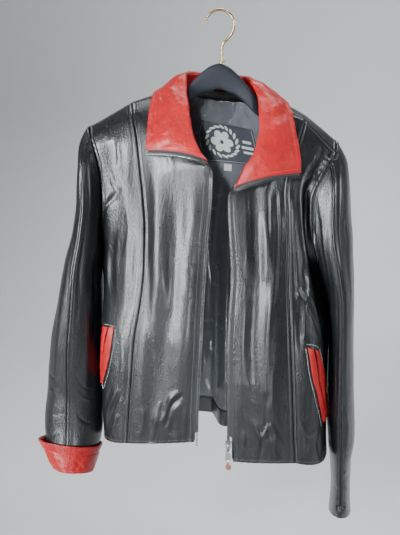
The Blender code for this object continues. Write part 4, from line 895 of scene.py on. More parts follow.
def satin_painted_light_material():
    material, tree, shader, place = new_material("satin", (0.016, 0.017, 0.022), 0.22)
    fine = stretched(tree, place, (1.0, 1.0, 0.12))
    weave = noise(tree, fine, 2400.0, 2.0)
    soft = noise(tree, place, 60.0, 3.0)
    # The ramp lifts the black cloth to mid grey with uneven tone: the lift is painted light and sheen for the shaded
    # inside of the jacket.
    tree.links.new(ramp(tree, soft, [(0.3, (0.125, 0.133, 0.152)), (0.75, (0.150, 0.160, 0.182))]),
                   shader.inputs["Base Color"])
    tree.links.new(span(tree, soft, 0.3, 0.7, 0.24, 0.28), shader.inputs["Roughness"])
    shader.inputs["Specular IOR Level"].default_value = 0.9
    shader.inputs["Sheen Weight"].default_value = 0.4
    shader.inputs["Sheen Roughness"].default_value = 0.35
    bumps(tree, shader, [(weave, 0.25, 0.0002), (soft, 0.10, 0.0012)])
    return material


def woven_material(name, dark, pale, scale=1500.0):
    material, tree, shader, place = new_material(name, dark, 0.8)
    across = noise(tree, stretched(tree, place, (1.0, 1.0, 0.2)), scale, 2.0)
    tree.links.new(ramp(tree, across, [(0.35, dark), (0.65, pale)]), shader.inputs["Base Color"])
    shader.inputs["Sheen Weight"].default_value = 0.3
    bumps(tree, shader, [(across, 0.5, 0.0003), (cells(tree, place, 900.0), 0.3, 0.0004)])
    return material


def metal_material(name, colour, roughness, tarnish):
    material, tree, shader, place = new_material(name, colour, roughness, 1.0)
    worn = noise(tree, place, 420.0, 4.0, 0.6)
    tree.links.new(ramp(tree, worn, [(0.35, colour), (0.75, tarnish)]), shader.inputs["Base Color"])
    tree.links.new(span(tree, worn, 0.3, 0.7, roughness - 0.07, roughness + 0.12), shader.inputs["Roughness"])
    bumps(tree, shader, [(worn, 0.15, 0.0002)])
    return material


def pull_material():
    """Silver metal whose drop-shaped tip is coppery."""
    material, tree, shader, place = new_material("pull_metal", (0.62, 0.63, 0.65), 0.24, 1.0)
    split = tree.nodes.new("ShaderNodeSeparateXYZ")
    tree.links.new(place, split.inputs["Vector"])
    height = span(tree, split.outputs["Z"], -0.703, -0.655, 0.0, 1.0)
    tree.links.new(ramp(tree, height, [(0.0, (0.62, 0.33, 0.22)), (0.30, (0.66, 0.38, 0.27)),
                                       (0.34, (0.60, 0.61, 0.63)), (1.0, (0.62, 0.63, 0.65))]),
                   shader.inputs["Base Color"])
    bumps(tree, shader, [(noise(tree, place, 420.0, 4.0, 0.6), 0.15, 0.0002)])
    return material


def plastic_material(name, colour, pale):
    material, tree, shader, place = new_material(name, colour, 0.4)
    mottle = noise(tree, place, 220.0, 4.0)
    tree.links.new(ramp(tree, mottle, [(0.35, colour), (0.75, pale)]), shader.inputs["Base Color"])
    tree.links.new(span(tree, mottle, 0.3, 0.7, 0.45, 0.60), shader.inputs["Roughness"])
    shader.inputs["Specular IOR Level"].default_value = 0.25
    bumps(tree, shader, [(noise(tree, place, 1100.0, 3.0), 0.25, 0.0002)])
    return material


BLACK = leather_material("leather_black", (0.005, 0.0055, 0.0065), (0.012, 0.013, 0.015), (0.27, 0.36),
                         (0.26, 0.19), 1.6)
RED = leather_material("leather_red", (0.30, 0.006, 0.008), (0.44, 0.014, 0.014), (0.33, 0.40), (0.10, 0.22), 1.9)
RED.node_tree.nodes["Principled BSDF"].inputs["Specular IOR Level"].default_value = 0.32
# the lining's colour is lifted from black to grey: painted light and sheen
SATIN_PAINTED_LIGHT = satin_painted_light_material()
TAPE_CLOTH = woven_material("tape_cloth", (0.010, 0.010, 0.012), (0.028, 0.028, 0.032))
LABEL_CLOTH = woven_material("label_cloth", (0.040, 0.046, 0.060), (0.085, 0.093, 0.112))
TAG_CLOTH = woven_material("tag_cloth", (0.62, 0.62, 0.60), (0.80, 0.80, 0.78), 1200.0)
PALE_THREAD = woven_material("pale_thread", (0.50, 0.50, 0.50), (0.75, 0.75, 0.74), 2600.0)
DARK_THREAD = woven_material("dark_thread", (0.03, 0.03, 0.033), (0.08, 0.08, 0.085), 2600.0)
GREY_THREAD = woven_material("grey_thread", (0.09, 0.09, 0.095), (0.17, 0.17, 0.175), 2600.0)
RED_THREAD = woven_material("red_thread", (0.34, 0.03, 0.03), (0.55, 0.10, 0.09), 2600.0)
EMBROIDERY = woven_material("embroidery", (0.60, 0.68, 0.63), (0.80, 0.88, 0.82), 1500.0)
ZIP_METAL = metal_material("zip_metal", (0.20, 0.20, 0.20), 0.36, (0.09, 0.09, 0.09))
SLIDER_METAL = metal_material("slider_metal", (0.62, 0.63, 0.65), 0.26, (0.42, 0.42, 0.43))
HOOK_METAL = metal_material("hook_metal", (0.66, 0.47, 0.24), 0.22, (0.46, 0.32, 0.17))
PULL_METAL = pull_material()
PLASTIC = plastic_material("hanger_plastic", (0.010, 0.012, 0.019), (0.015, 0.018, 0.027))
# --- creases ------------------------------------------------------------------------------------
# For each piece: the crease's line in the piece's own places, its half width and height in
# millimetres, and its form. On the fronts the first place runs from the zip edge or the princess seam
# outwards, and the second one from the hem up.
CREASES = {
    "front_centre_right": [
        ([(0.67, 0.82), (0.70, 0.703), (0.68, 0.568), (0.50, 0.40), (0.33, 0.22), (0.26, 0.01)], 16, 2.6, "soft"),
        ([(0.88, 0.80), (0.92, 0.615), (0.85, 0.45), (0.70, 0.242), (0.64, -0.02)], 10, -2.6, "soft"),
        ([(0.20, 0.80), (0.15, 0.698), (0.16, 0.608), (0.17, 0.48)], 7, 0.6, "soft"),
        ([(0.33, 0.83), (0.27, 0.657), (0.24, 0.465), (0.22, 0.36)], 8, -0.8, "soft"),
        ([(0.29, 0.545), (0.18, 0.560), (0.07, 0.556)], 1.7, 0.7, "pinch"),
        ([(0.27, 0.517), (0.16, 0.520), (0.05, 0.532)], 1.5, 0.6, "pinch"),
        ([(0.24, 0.497), (0.15, 0.500), (0.05, 0.487)], 1.6, 0.6, "pinch"),
        ([(0.31, 0.470), (0.20, 0.462), (0.10, 0.470)], 1.8, -0.6, "pinch"),
        ([(0.45, 0.060), (0.35, 0.138), (0.18, 0.185)], 3.2, 2.2, "step"),
        ([(0.60, 0.013), (0.57, 0.080), (0.52, 0.143)], 4, 2.4, "soft"),
        ([(0.28, 0.000), (0.31, 0.050), (0.29, 0.110)], 4, -2.0, "soft"),
        ([(0.10, 0.020), (0.14, 0.060), (0.12, 0.120)], 3, 1.4, "soft"),
        ([(0.80, 0.020), (0.76, 0.070), (0.78, 0.130)], 3.5, 1.7, "soft"),
        ([(0.55, 0.900), (0.50, 0.860), (0.52, 0.790)], 5, 1.2, "soft"),
        ([(0.42, 0.360), (0.36, 0.300), (0.38, 0.230)], 4, 0.7, "soft"),
    ],
    "front_side_right": [
        ([(0.51, 0.975), (0.51, 0.945), (0.52, 0.915)], 2.2, -1.4, "pinch"),
        ([(0.39, 0.895), (0.42, 0.860), (0.45, 0.823)], 2.0, -1.1, "pinch"),
        ([(0.97, 0.688), (0.713, 0.718), (0.42, 0.758)], 4.5, -2.4, "soft"),
        ([(0.43, 0.94), (0.446, 0.845), (0.412, 0.75), (0.454, 0.605), (0.367, 0.42)], 10, 2.4, "soft"),
        ([(0.09, 0.870), (0.15, 0.72), (0.163, 0.55), (0.12, 0.40)], 8, -1.6, "soft"),
        ([(0.93, 0.652), (0.767, 0.6), (0.646, 0.5), (0.667, 0.41)], 7, 1.8, "soft"),
        ([(0.49, 0.040), (0.30, 0.115), (0.15, 0.165)], 3.0, 2.4, "step"),
        ([(0.33, 0.020), (0.25, 0.055), (0.17, 0.090)], 2.8, 1.9, "soft"),
        ([(0.55, 0.090), (0.40, 0.140), (0.30, 0.180)], 3.2, -1.7, "soft"),
        ([(0.20, 0.36), (0.11, 0.23), (0.15, 0.10)], 5, 1.5, "soft"),
        ([(0.70, 0.830), (0.62, 0.800), (0.55, 0.760)], 2.2, 0.8, "pinch"),
        ([(0.78, 0.800), (0.68, 0.770), (0.60, 0.735)], 2.0, 0.7, "pinch"),
        ([(0.30, 0.700), (0.25, 0.640), (0.28, 0.580)], 3.0, 0.9, "soft"),
    ],
    "front_centre_left": [
        ([(0.30, 0.150), (0.48, 0.085), (0.62, 0.125), (0.80, 0.060)], 3.6, 2.4, "soft"),
        ([(0.58, 0.230), (0.55, 0.150), (0.64, 0.070)], 3.0, -2.0, "soft"),
        ([(0.70, 0.300), (0.66, 0.200), (0.80, 0.110)], 5.0, 2.0, "soft"),
        ([(0.25, 0.80), (0.25, 0.713), (0.20, 0.60)], 6, 1.6, "soft"),
        ([(0.82, 0.80), (0.82, 0.693), (0.73, 0.555), (0.62, 0.41), (0.56, 0.14)], 5.5, 2.8, "soft"),
        ([(0.945, 0.805), (0.95, 0.733), (0.955, 0.64)], 2.6, 1.4, "soft"),
        ([(0.89, 0.800), (0.89, 0.705), (0.85, 0.600), (0.80, 0.520)], 2.6, -1.8, "soft"),
        ([(0.50, 0.79), (0.46, 0.60), (0.44, 0.495), (0.36, 0.20)], 10, -2.6, "soft"),
        ([(0.20, 0.49), (0.17, 0.315), (0.20, 0.10)], 9, 1.8, "soft"),
        ([(0.71, 0.79), (0.72, 0.72), (0.68, 0.64)], 3.0, -1.3, "soft"),
        ([(0.93, 0.715), (0.96, 0.705), (0.99, 0.712)], 1.2, 0.6, "pinch"),
        ([(0.92, 0.690), (0.95, 0.684), (0.99, 0.688)], 1.2, 0.6, "pinch"),
        ([(0.15, 0.020), (0.18, 0.060), (0.16, 0.110)], 3.5, 1.7, "soft"),
        ([(0.45, 0.000), (0.48, 0.060), (0.44, 0.120)], 4.5, -2.2, "soft"),
        ([(0.72, 0.010), (0.68, 0.050), (0.70, 0.100)], 3.5, 1.9, "soft"),
        ([(0.10, 0.560), (0.16, 0.530), (0.12, 0.480)], 3.0, 0.7, "soft"),
    ],
    "front_side_left": [
        ([(0.10, 0.130), (0.30, 0.090), (0.55, 0.110)], 2.8, 1.8, "soft"),
        ([(0.30, 0.86), (0.50, 0.75), (0.42, 0.64), (0.42, 0.568)], 5.5, 2.8, "soft"),
        ([(0.20, 0.82), (0.21, 0.70), (0.16, 0.497), (0.13, 0.35)], 4.5, -2.9, "soft"),
        ([(0.62, 0.850), (0.82, 0.77), (0.75, 0.66), (0.62, 0.60)], 4.2, -2.2, "soft"),
        ([(0.17, 0.530), (0.40, 0.470), (0.60, 0.385)], 3.6, 1.7, "step"),
        ([(0.42, 0.568), (0.29, 0.495), (0.19, 0.375)], 4.5, 1.8, "soft"),
        ([(0.36, 0.365), (0.33, 0.203), (0.27, 0.10)], 7, 1.8, "soft"),
        ([(0.80, 0.600), (0.66, 0.540), (0.56, 0.450)], 4, -1.8, "soft"),
        ([(0.90, 0.540), (0.75, 0.480), (0.66, 0.400)], 3.4, 1.2, "soft"),
        ([(0.15, 0.020), (0.22, 0.060), (0.18, 0.110)], 3.2, 1.7, "soft"),
        ([(0.60, 0.010), (0.55, 0.060), (0.62, 0.100)], 3.8, -2.0, "soft"),
        ([(0.50, 0.930), (0.45, 0.900), (0.40, 0.860)], 2.4, 0.9, "pinch"),
        ([(0.70, 0.900), (0.60, 0.880), (0.50, 0.845)], 2.2, -0.8, "pinch"),
    ],
    # round the sleeves the first place runs from the front seam over the outer side, or from the back
    # seam over the inner side, and the second one from the shoulder down
    "sleeve_upper_right": [
        ([(0.19, 0.38), (0.13, 0.55), (0.16, 0.755), (0.22, 0.90)], 9, 2.0, "soft"),
        ([(0.05, 0.12), (0.10, 0.25), (0.06, 0.42)], 4, -1.2, "soft"),
        ([(0.10, 0.700), (0.20, 0.716), (0.34, 0.705)], 2.6, -1.3, "pinch"),
        ([(0.06, 0.735), (0.16, 0.745), (0.28, 0.738)], 2.2, -1.0, "pinch"),
        ([(0.12, 0.770), (0.22, 0.762), (0.36, 0.775)], 2.8, 1.1, "soft"),
        ([(0.04, 0.820), (0.15, 0.835), (0.25, 0.825)], 2.4, -0.9, "pinch"),
        ([(0.08, 0.885), (0.20, 0.900), (0.32, 0.890)], 3.0, 1.2, "soft"),
        ([(0.35, 0.08), (0.38, 0.20), (0.33, 0.33)], 7, -1.6, "soft"),
        ([(0.55, 0.12), (0.60, 0.30), (0.58, 0.50)], 9, 1.8, "soft"),
        ([(0.75, 0.55), (0.66, 0.62), (0.58, 0.60)], 4, -1.5, "soft"),
        ([(0.82, 0.64), (0.72, 0.69), (0.60, 0.67)], 3.2, 1.2, "soft"),
        ([(0.86, 0.72), (0.74, 0.75), (0.66, 0.74)], 3.0, -1.1, "pinch"),
        ([(0.48, 0.80), (0.55, 0.86), (0.52, 0.93)], 6, 1.3, "soft"),
    ],
    "sleeve_under_right": [
        ([(0.97, 0.03), (0.90, 0.07), (0.86, 0.14), (0.80, 0.22)], 5, 2.0, "soft"),
        ([(0.84, 0.22), (0.77, 0.45), (0.81, 0.74)], 6, 2.0, "soft"),
        ([(0.93, 0.13), (0.90, 0.30), (0.91, 0.52)], 3.5, -1.9, "soft"),
        ([(0.70, 0.12), (0.66, 0.30), (0.68, 0.46)], 7, -1.8, "soft"),
        ([(0.95, 0.66), (0.82, 0.69), (0.70, 0.67)], 2.6, -1.2, "pinch"),
        ([(0.96, 0.72), (0.84, 0.735), (0.72, 0.72)], 2.4, 1.0, "soft"),
        ([(0.94, 0.80), (0.80, 0.82), (0.66, 0.80)], 3.0, -1.1, "pinch"),
        ([(0.40, 0.15), (0.35, 0.35), (0.42, 0.60)], 8, 1.8, "soft"),
        ([(0.20, 0.60), (0.30, 0.66), (0.45, 0.64)], 3.6, -1.3, "soft"),
        ([(0.12, 0.68), (0.26, 0.73), (0.40, 0.71)], 3.0, 1.1, "soft"),
    ],
    "sleeve_under_left": [
        ([(0.89, 0.01), (0.89, 0.08), (0.84, 0.155), (0.72, 0.28)], 2.8, 2.2, "pinch"),
        ([(0.84, 0.01), (0.77, 0.05), (0.64, 0.10), (0.62, 0.21)], 2.6, 1.9, "pinch"),
        ([(0.87, 0.05), (0.80, 0.11), (0.70, 0.20)], 3.0, -1.6, "soft"),
        ([(0.78, 0.33), (0.72, 0.50), (0.80, 0.76)], 5.5, 2.0, "soft"),
        ([(0.92, 0.25), (0.88, 0.45), (0.92, 0.66)], 3.8, -1.6, "soft"),
        ([(0.97, 0.840), (0.84, 0.852), (0.70, 0.845)], 2.4, 1.0, "pinch"),
        ([(0.96, 0.885), (0.82, 0.893), (0.68, 0.880)], 2.4, -0.9, "pinch"),
        ([(0.95, 0.930), (0.80, 0.940), (0.70, 0.930)], 2.6, 0.9, "soft"),
        ([(0.42, 0.12), (0.36, 0.34), (0.44, 0.58)], 8, 1.8, "soft"),
        ([(0.15, 0.56), (0.28, 0.62), (0.42, 0.60)], 3.4, -1.3, "soft"),
        ([(0.12, 0.64), (0.26, 0.68), (0.40, 0.67)], 2.8, 1.1, "soft"),
    ],
    "sleeve_upper_left": [
        ([(0.16, 0.02), (0.10, 0.135), (0.08, 0.325), (0.06, 0.61)], 4.5, 2.2, "soft"),
        ([(0.25, 0.03), (0.20, 0.16), (0.22, 0.36)], 5, -1.5, "soft"),
        ([(0.03, 0.838), (0.12, 0.852), (0.32, 0.850)], 2.5, 1.2, "pinch"),
        ([(0.03, 0.868), (0.14, 0.874), (0.26, 0.866)], 2.2, -0.9, "pinch"),
        ([(0.02, 0.902), (0.15, 0.906), (0.34, 0.925)], 2.6, 1.2, "pinch"),
        ([(0.03, 0.795), (0.18, 0.790), (0.30, 0.805)], 2.8, -1.0, "pinch"),
        ([(0.04, 0.950), (0.16, 0.957), (0.28, 0.970)], 2.4, 1.0, "soft"),
        ([(0.05, 0.640), (0.15, 0.700), (0.10, 0.780)], 4.5, 1.2, "soft"),
        ([(0.42, 0.10), (0.45, 0.24), (0.40, 0.40)], 8, -1.8, "soft"),
        ([(0.60, 0.14), (0.64, 0.32), (0.60, 0.52)], 9, 1.9, "soft"),
        ([(0.84, 0.52), (0.74, 0.58), (0.62, 0.56)], 3.6, -1.5, "soft"),
        ([(0.88, 0.60), (0.76, 0.64), (0.66, 0.63)], 3.0, 1.2, "soft"),
        ([(0.90, 0.70), (0.78, 0.72), (0.68, 0.71)], 2.6, -1.0, "pinch"),
        ([(0.50, 0.82), (0.56, 0.88), (0.54, 0.95)], 5, 1.2, "soft"),
    ],
    # the back runs from its left side to its right, and from the hem up
    "back": [
        ([(0.14, 0.01), (0.16, 0.22), (0.13, 0.46), (0.17, 0.62)], 13, 2.4, "soft"),
        ([(0.26, 0.02), (0.28, 0.30), (0.25, 0.58)], 10, -2.2, "soft"),
        ([(0.36, 0.04), (0.35, 0.26), (0.38, 0.48)], 12, 2.0, "soft"),
        ([(0.70, 0.01), (0.72, 0.24), (0.69, 0.52)], 11, -2.4, "soft"),
        ([(0.82, 0.02), (0.80, 0.30), (0.84, 0.60)], 12, 2.3, "soft"),
        ([(0.92, 0.10), (0.90, 0.28), (0.93, 0.44)], 8, -1.6, "soft"),
        ([(0.10, 0.70), (0.20, 0.76), (0.30, 0.80)], 6, 1.6, "soft"),
        ([(0.12, 0.63), (0.22, 0.68), (0.32, 0.70)], 5, -1.3, "soft"),
        ([(0.90, 0.69), (0.80, 0.75), (0.70, 0.78)], 6, 1.7, "soft"),
        ([(0.88, 0.62), (0.78, 0.66), (0.69, 0.69)], 5, -1.3, "soft"),
        ([(0.30, 0.90), (0.45, 0.885), (0.60, 0.895)], 5, 1.0, "soft"),
        ([(0.20, 0.03), (0.24, 0.09), (0.22, 0.15)], 4, 1.2, "soft"),
        ([(0.60, 0.02), (0.62, 0.08), (0.59, 0.14)], 4, -1.2, "soft"),
    ],
    # inside, the same way round; what is sunk away from the wearer has a positive height
    "lining_back": [
        ([(0.497, 0.76), (0.497, 0.62), (0.490, 0.48), (0.486, 0.28), (0.474, 0.15)], 2.6, -3.2, "pinch"),
        ([(0.512, 0.66), (0.510, 0.50), (0.506, 0.34), (0.505, 0.20)], 2.4, -2.8, "pinch"),
        ([(0.480, 0.62), (0.478, 0.50), (0.474, 0.36)], 2.2, -2.2, "pinch"),
        ([(0.476, 0.26), (0.488, 0.19), (0.498, 0.11)], 2.4, -3.0, "pinch"),
        ([(0.500, 0.24), (0.508, 0.15), (0.512, 0.08)], 2.4, -2.5, "pinch"),
        ([(0.466, 0.20), (0.470, 0.12), (0.480, 0.07)], 2.6, -2.5, "soft"),
        ([(0.560, 0.72), (0.552, 0.60), (0.556, 0.46)], 6, -2.8, "soft"),
        ([(0.440, 0.72), (0.446, 0.58), (0.440, 0.44)], 6, -2.5, "soft"),
        ([(0.556, 0.985), (0.545, 0.930), (0.532, 0.872)], 2.6, -3.2, "pinch"),
        ([(0.580, 0.980), (0.579, 0.930), (0.586, 0.876)], 2.4, -3.0, "pinch"),
        ([(0.500, 0.985), (0.490, 0.955), (0.480, 0.925)], 2.0, -2.0, "pinch"),
        ([(0.620, 0.960), (0.630, 0.930), (0.618, 0.890)], 2.6, -2.0, "soft"),
        ([(0.440, 0.960), (0.450, 0.920), (0.444, 0.880)], 3.0, -2.0, "soft"),
        ([(0.600, 0.840), (0.630, 0.800), (0.640, 0.740)], 4, -2.0, "soft"),
        ([(0.400, 0.840), (0.372, 0.790), (0.380, 0.720)], 4, -2.0, "soft"),
        ([(0.30, 0.10), (0.28, 0.36), (0.32, 0.60)], 9, -2.8, "soft"),
        ([(0.72, 0.10), (0.74, 0.34), (0.70, 0.60)], 9, -2.8, "soft"),
        ([(0.16, 0.14), (0.18, 0.40), (0.15, 0.62)], 9, -2.5, "soft"),
        ([(0.86, 0.14), (0.84, 0.42), (0.87, 0.62)], 9, -2.5, "soft"),
    ],
    # the collar runs from its right end to its left, and from the neck over the fold to its edge
    "collar_top": [
        ([(0.250, 0.840), (0.229, 0.768), (0.212, 0.710)], 1.5, 1.4, "pinch"),
        ([(0.190, 0.735), (0.167, 0.650), (0.148, 0.590)], 1.5, 1.4, "pinch"),
        ([(0.178, 0.530), (0.158, 0.430), (0.142, 0.360)], 1.6, 1.4, "pinch"),
        ([(0.082, 0.780), (0.092, 0.640), (0.106, 0.480)], 2.0, 1.4, "pinch"),
        ([(0.020, 0.770), (0.024, 0.670), (0.032, 0.560)], 1.5, 1.1, "pinch"),
        ([(0.080, 0.430), (0.056, 0.430), (0.030, 0.450)], 1.4, 1.1, "pinch"),
        ([(0.150, 0.565), (0.113, 0.560), (0.075, 0.625)], 3.0, -1.3, "soft"),
        ([(0.236, 0.480), (0.214, 0.430), (0.200, 0.370)], 1.7, 1.3, "pinch"),
        ([(0.308, 0.743), (0.280, 0.600), (0.258, 0.468)], 2.4, 1.3, "soft"),
        ([(0.124, 0.430), (0.100, 0.390), (0.078, 0.370)], 1.6, 1.1, "pinch"),
        ([(0.060, 0.560), (0.074, 0.500), (0.068, 0.430)], 1.4, 1.0, "pinch"),
        ([(0.118, 0.720), (0.104, 0.660), (0.112, 0.600)], 2.2, -1.0, "pinch"),
        ([(0.200, 0.880), (0.130, 0.885), (0.060, 0.885), (0.010, 0.880)], 1.6, -1.3, "soft"),
        ([(0.822, 0.360), (0.834, 0.380), (0.848, 0.420)], 1.5, 1.6, "pinch"),
        ([(0.852, 0.350), (0.862, 0.385), (0.873, 0.430)], 1.4, 1.6, "pinch"),
        ([(0.874, 0.350), (0.882, 0.370), (0.892, 0.430)], 1.3, 1.3, "pinch"),
        ([(0.915, 0.450), (0.930, 0.520), (0.950, 0.600)], 1.8, 1.6, "pinch"),
        ([(0.925, 0.380), (0.942, 0.410), (0.960, 0.460)], 1.4, 1.3, "pinch"),
        ([(0.806, 0.800), (0.815, 0.850), (0.823, 0.890)], 1.5, 1.1, "pinch"),
        ([(0.868, 0.820), (0.885, 0.850), (0.900, 0.870)], 1.6, 1.3, "pinch"),
        ([(0.938, 0.820), (0.956, 0.860), (0.972, 0.890)], 1.7, 1.3, "pinch"),
        ([(0.630, 0.420), (0.634, 0.560), (0.637, 0.700)], 2.6, 1.3, "soft"),
        ([(0.721, 0.480), (0.796, 0.490), (0.875, 0.585)], 5.0, -1.4, "soft"),
        ([(0.750, 0.670), (0.790, 0.690), (0.833, 0.713)], 3.0, 1.1, "soft"),
        ([(0.965, 0.625), (0.970, 0.700), (0.975, 0.790)], 1.6, 1.1, "pinch"),
        ([(0.917, 0.665), (0.900, 0.700), (0.879, 0.725)], 1.8, 1.1, "pinch"),
        ([(0.700, 0.560), (0.715, 0.620), (0.708, 0.700)], 2.2, 1.0, "pinch"),
        ([(0.640, 0.885), (0.740, 0.890), (0.860, 0.890), (0.985, 0.885)], 1.6, -1.3, "soft"),
        ([(0.400, 0.600), (0.430, 0.560), (0.470, 0.600)], 3.0, 1.0, "soft"),
        ([(0.520, 0.620), (0.550, 0.570), (0.590, 0.600)], 3.0, 1.0, "soft"),
    ],
    # round the cuff from the front over its outer side, and from its lower edge up
    "cuff_right": [
        ([(0.02, 0.66), (0.10, 0.70), (0.22, 0.64), (0.34, 0.70)], 1.6, -1.5, "soft"),
        ([(0.98, 0.68), (0.90, 0.66), (0.80, 0.70), (0.66, 0.66)], 1.6, -1.5, "soft"),
        ([(0.05, 0.15), (0.07, 0.35), (0.04, 0.52)], 1.8, 1.4, "pinch"),
        ([(0.14, 0.10), (0.17, 0.30), (0.15, 0.55)], 2.2, 1.4, "soft"),
        ([(0.95, 0.12), (0.93, 0.34), (0.96, 0.55)], 2.0, -1.4, "pinch"),
        ([(0.88, 0.20), (0.90, 0.42), (0.87, 0.58)], 2.0, 1.2, "soft"),
        ([(0.20, 0.78), (0.23, 0.86), (0.21, 0.95)], 2.0, 1.2, "soft"),
        ([(0.40, 0.20), (0.43, 0.45), (0.40, 0.70)], 3.0, 1.5, "soft"),
        ([(0.60, 0.20), (0.57, 0.40), (0.61, 0.66)], 3.0, -1.5, "soft"),
    ],
}
# for each piece: the edge's axis, whether it is the far end, then height, length and reach of the puckers
PUCKERS = {
    "front_centre_right": [(0, False, 0.30, 5, 6), (0, True, 0.22, 7, 6), (1, False, 0.60, 11, 15)],
    "front_centre_left": [(0, False, 0.30, 5, 6), (0, True, 0.30, 7, 6), (1, False, 0.60, 11, 15)],
    "front_side_right": [(0, False, 0.22, 7, 6), (0, True, 0.40, 9, 8), (1, False, 0.60, 11, 15)],
    "front_side_left": [(0, False, 0.30, 7, 6), (0, True, 0.55, 8, 9), (1, False, 0.60, 11, 15),
                        (1, True, 0.30, 7, 7)],
    "sleeve_upper_right": [(0, False, 0.10, 11, 7), (0, True, 0.10, 11, 7), (1, False, 0.60, 9, 12)],
    "sleeve_under_right": [(0, False, 0.10, 11, 7), (0, True, 0.10, 11, 7), (1, False, 0.50, 9, 10)],
    "sleeve_upper_left": [(0, False, 0.10, 11, 7), (0, True, 0.10, 11, 7), (1, False, 0.70, 9, 12),
                          (1, True, 0.35, 8, 8)],
    "sleeve_under_left": [(0, False, 0.10, 11, 7), (0, True, 0.10, 11, 7), (1, False, 0.60, 9, 10),
                          (1, True, 0.35, 8, 8)],
    "back": [(0, False, 0.30, 9, 8), (0, True, 0.30, 9, 8), (1, False, 0.40, 10, 10), (1, True, 0.30, 9, 9)],
    "collar_top": [(1, True, 0.35, 6, 7), (0, False, 0.20, 6, 6), (0, True, 0.20, 6, 6)],
    "cuff_right": [(1, False, 0.25, 7, 7), (1, True, 0.30, 8, 8)],
}


# --- trunk --------------------------------------------------------------------------------------

def build_front(tag):
    u_centre, v = spread(112, 2.3, (False, True)), spread(560, 2.9, (True, False))
    points = front_points(tag, "centre", u_centre, v)
    points = trimmed(points, SEAM_GAP / 2 + 0.25, start=False)
    points = trimmed(points, CORNER_GAP / 2 + 0.25, start=False, axis=1)
    inward = -outward_normals(points, body_axis(points))
    name = "front_centre_" + tag
    away = distances(points, 0)
    hold = 1 - 0.9 * np.exp(-(away / 7.0) ** 2)
    edges = {(0, False): EDGE, (0, True): UNDERLAP, (1, False): HEM, (1, True): SEAM}
    sewn_panel(name, points, inward, u_centre, v, edges, CREASES.get(name, ()), PUCKERS.get(name, ()),
               material=BLACK, hold=hold, seed=11 if tag == "right" else 12)
    u_side = spread(95, 2.3)
    points = front_points(tag, "side", u_side, v)
    points = trimmed(points, SEAM_GAP / 2 + 0.25)
    points = trimmed(points, CORNER_GAP / 2 + 0.25, start=False, axis=1)
    inward = -outward_normals(points, body_axis(points))
    name = "front_side_" + tag
    edges = {(0, False): SEAM, (0, True): SEAM, (1, False): HEM, (1, True): SEAM}
    sewn_panel(name, points, inward, u_side, v, edges, CREASES.get(name, ()), PUCKERS.get(name, ()),
               material=BLACK, seed=13 if tag == "right" else 14)


def back_columns(step):
    """Columns of the back, closer together over its centre fold and at its sides."""
    width = BACK[0][4] - BACK[0][1]
    fold = 0.5 + BACK_FOLD_X / width
    part = 1.15 * BACK_FOLD_WIDTH / width
    side = np.array([0, 0.9, 1.8, 2.7, 3.6, 4.6, 5.8, 7.4]) / 440
    outer = int((fold - part) * 440 / step)
    return np.concatenate([side, np.linspace(side[-1], fold - part, outer)[1:],
                           np.linspace(fold - part, fold + part, int(2 * part * 560 / 2.2))[1:],
                           np.linspace(fold + part, 1 - side[-1], outer)[1:], 1 - side[:-1][::-1]])


def build_back():
    u, v = back_columns(3.4), spread(580, 3.2)
    points = back_points(u, v)
    points = trimmed(points, SEAM_GAP / 2 + 0.25)
    points = trimmed(points, CORNER_GAP / 2 + 0.25, start=False, axis=1)
    inward = -outward_normals(points, body_axis(points))
    edges = {(0, False): UNDERLAP, (0, True): UNDERLAP, (1, False): HEM, (1, True): SHOULDER}
    hold = 1 - 0.8 * np.exp(-((points[..., 0] - BACK_FOLD_X) / 22) ** 2)
    sewn_panel("back", points, inward, u, v, edges, CREASES.get("back", ()), PUCKERS.get("back", ()),
               material=BLACK, seed=21, hold=hold)


def build_lining():
    u, v = back_columns(3.4), np.linspace(0.056, 0.93, 190)
    inner = lining_points(u[1:-1], v, LEATHER + LINING_GAP)
    inward = outward_normals(inner, body_axis(inner))
    name = "lining_back"
    sewn_panel(name, inner, -inward, u[1:-1], v, {(1, False): SEAM}, CREASES.get(name, ()), (),
               thickness=0.7, material=SATIN_PAINTED_LIGHT, seed=23, ripple=(0.30, 26))
    v = np.linspace(0.0, 0.0545, 12)
    inner = lining_points(u[1:-1], v, LEATHER + LINING_GAP)
    inward = outward_normals(inner, body_axis(inner))
    sewn_panel("hem_facing_back", inner, -inward, u[1:-1], v, {}, (), (), thickness=0.9, material=BLACK,
               seed=24, ripple=(0.2, 26))


# --- sleeves ------------------------------------------------------------------------------------

SLEEVE_PRESS = 2.8       # how far the inner side of a sleeve leans on the trunk


def build_sleeve(tag):
    side, rows, sections = SLEEVES[tag]
    t = spread(600, 3.0, (True, True))
    middle = sleeve_surface(rows, sections, side, np.linspace(0, 330, 12), t).mean(axis=0)
    for piece, start in (("upper", 0.0), ("under", 180.0)):
        u = spread(155, 2.6)
        points = sleeve_surface(rows, sections, side, start + 180 * u, t)
        points = trimmed(points, SLEEVE_GAP / 2)
        inside = np.broadcast_to(middle, points.shape)
        inward = -outward_normals(points, inside)
        name = "sleeve_%s_%s" % (piece, tag)
        if tag == "right":
            inside_cuff = np.clip((sections[-1][0] + 52 - points[..., 2:3]) / 8, 0, 1)
            points = points + inward * 1.3 * inside_cuff
        if piece == "under":
            inner = np.sin(math.pi * u)[:, None] ** 0.5
            height = points[..., 2]
            pressed = inner * np.clip((-330 - height) / 40, 0, 1) * np.clip((height + 670) / 40, 0, 1)
            points[..., 0] += (SLEEVE_PRESS if tag == "right" else -SLEEVE_PRESS) * pressed
        joined = UNDERLAP if piece == "upper" else SEAM
        edges = {(0, False): joined, (0, True): joined, (1, False): SEAM, (1, True): HEM}
        sewn_panel(name, points, inward, u, t, edges, CREASES.get(name, ()), PUCKERS.get(name, ()),
                   material=BLACK, seed=31 + len(PANELS), narrow=26.0)


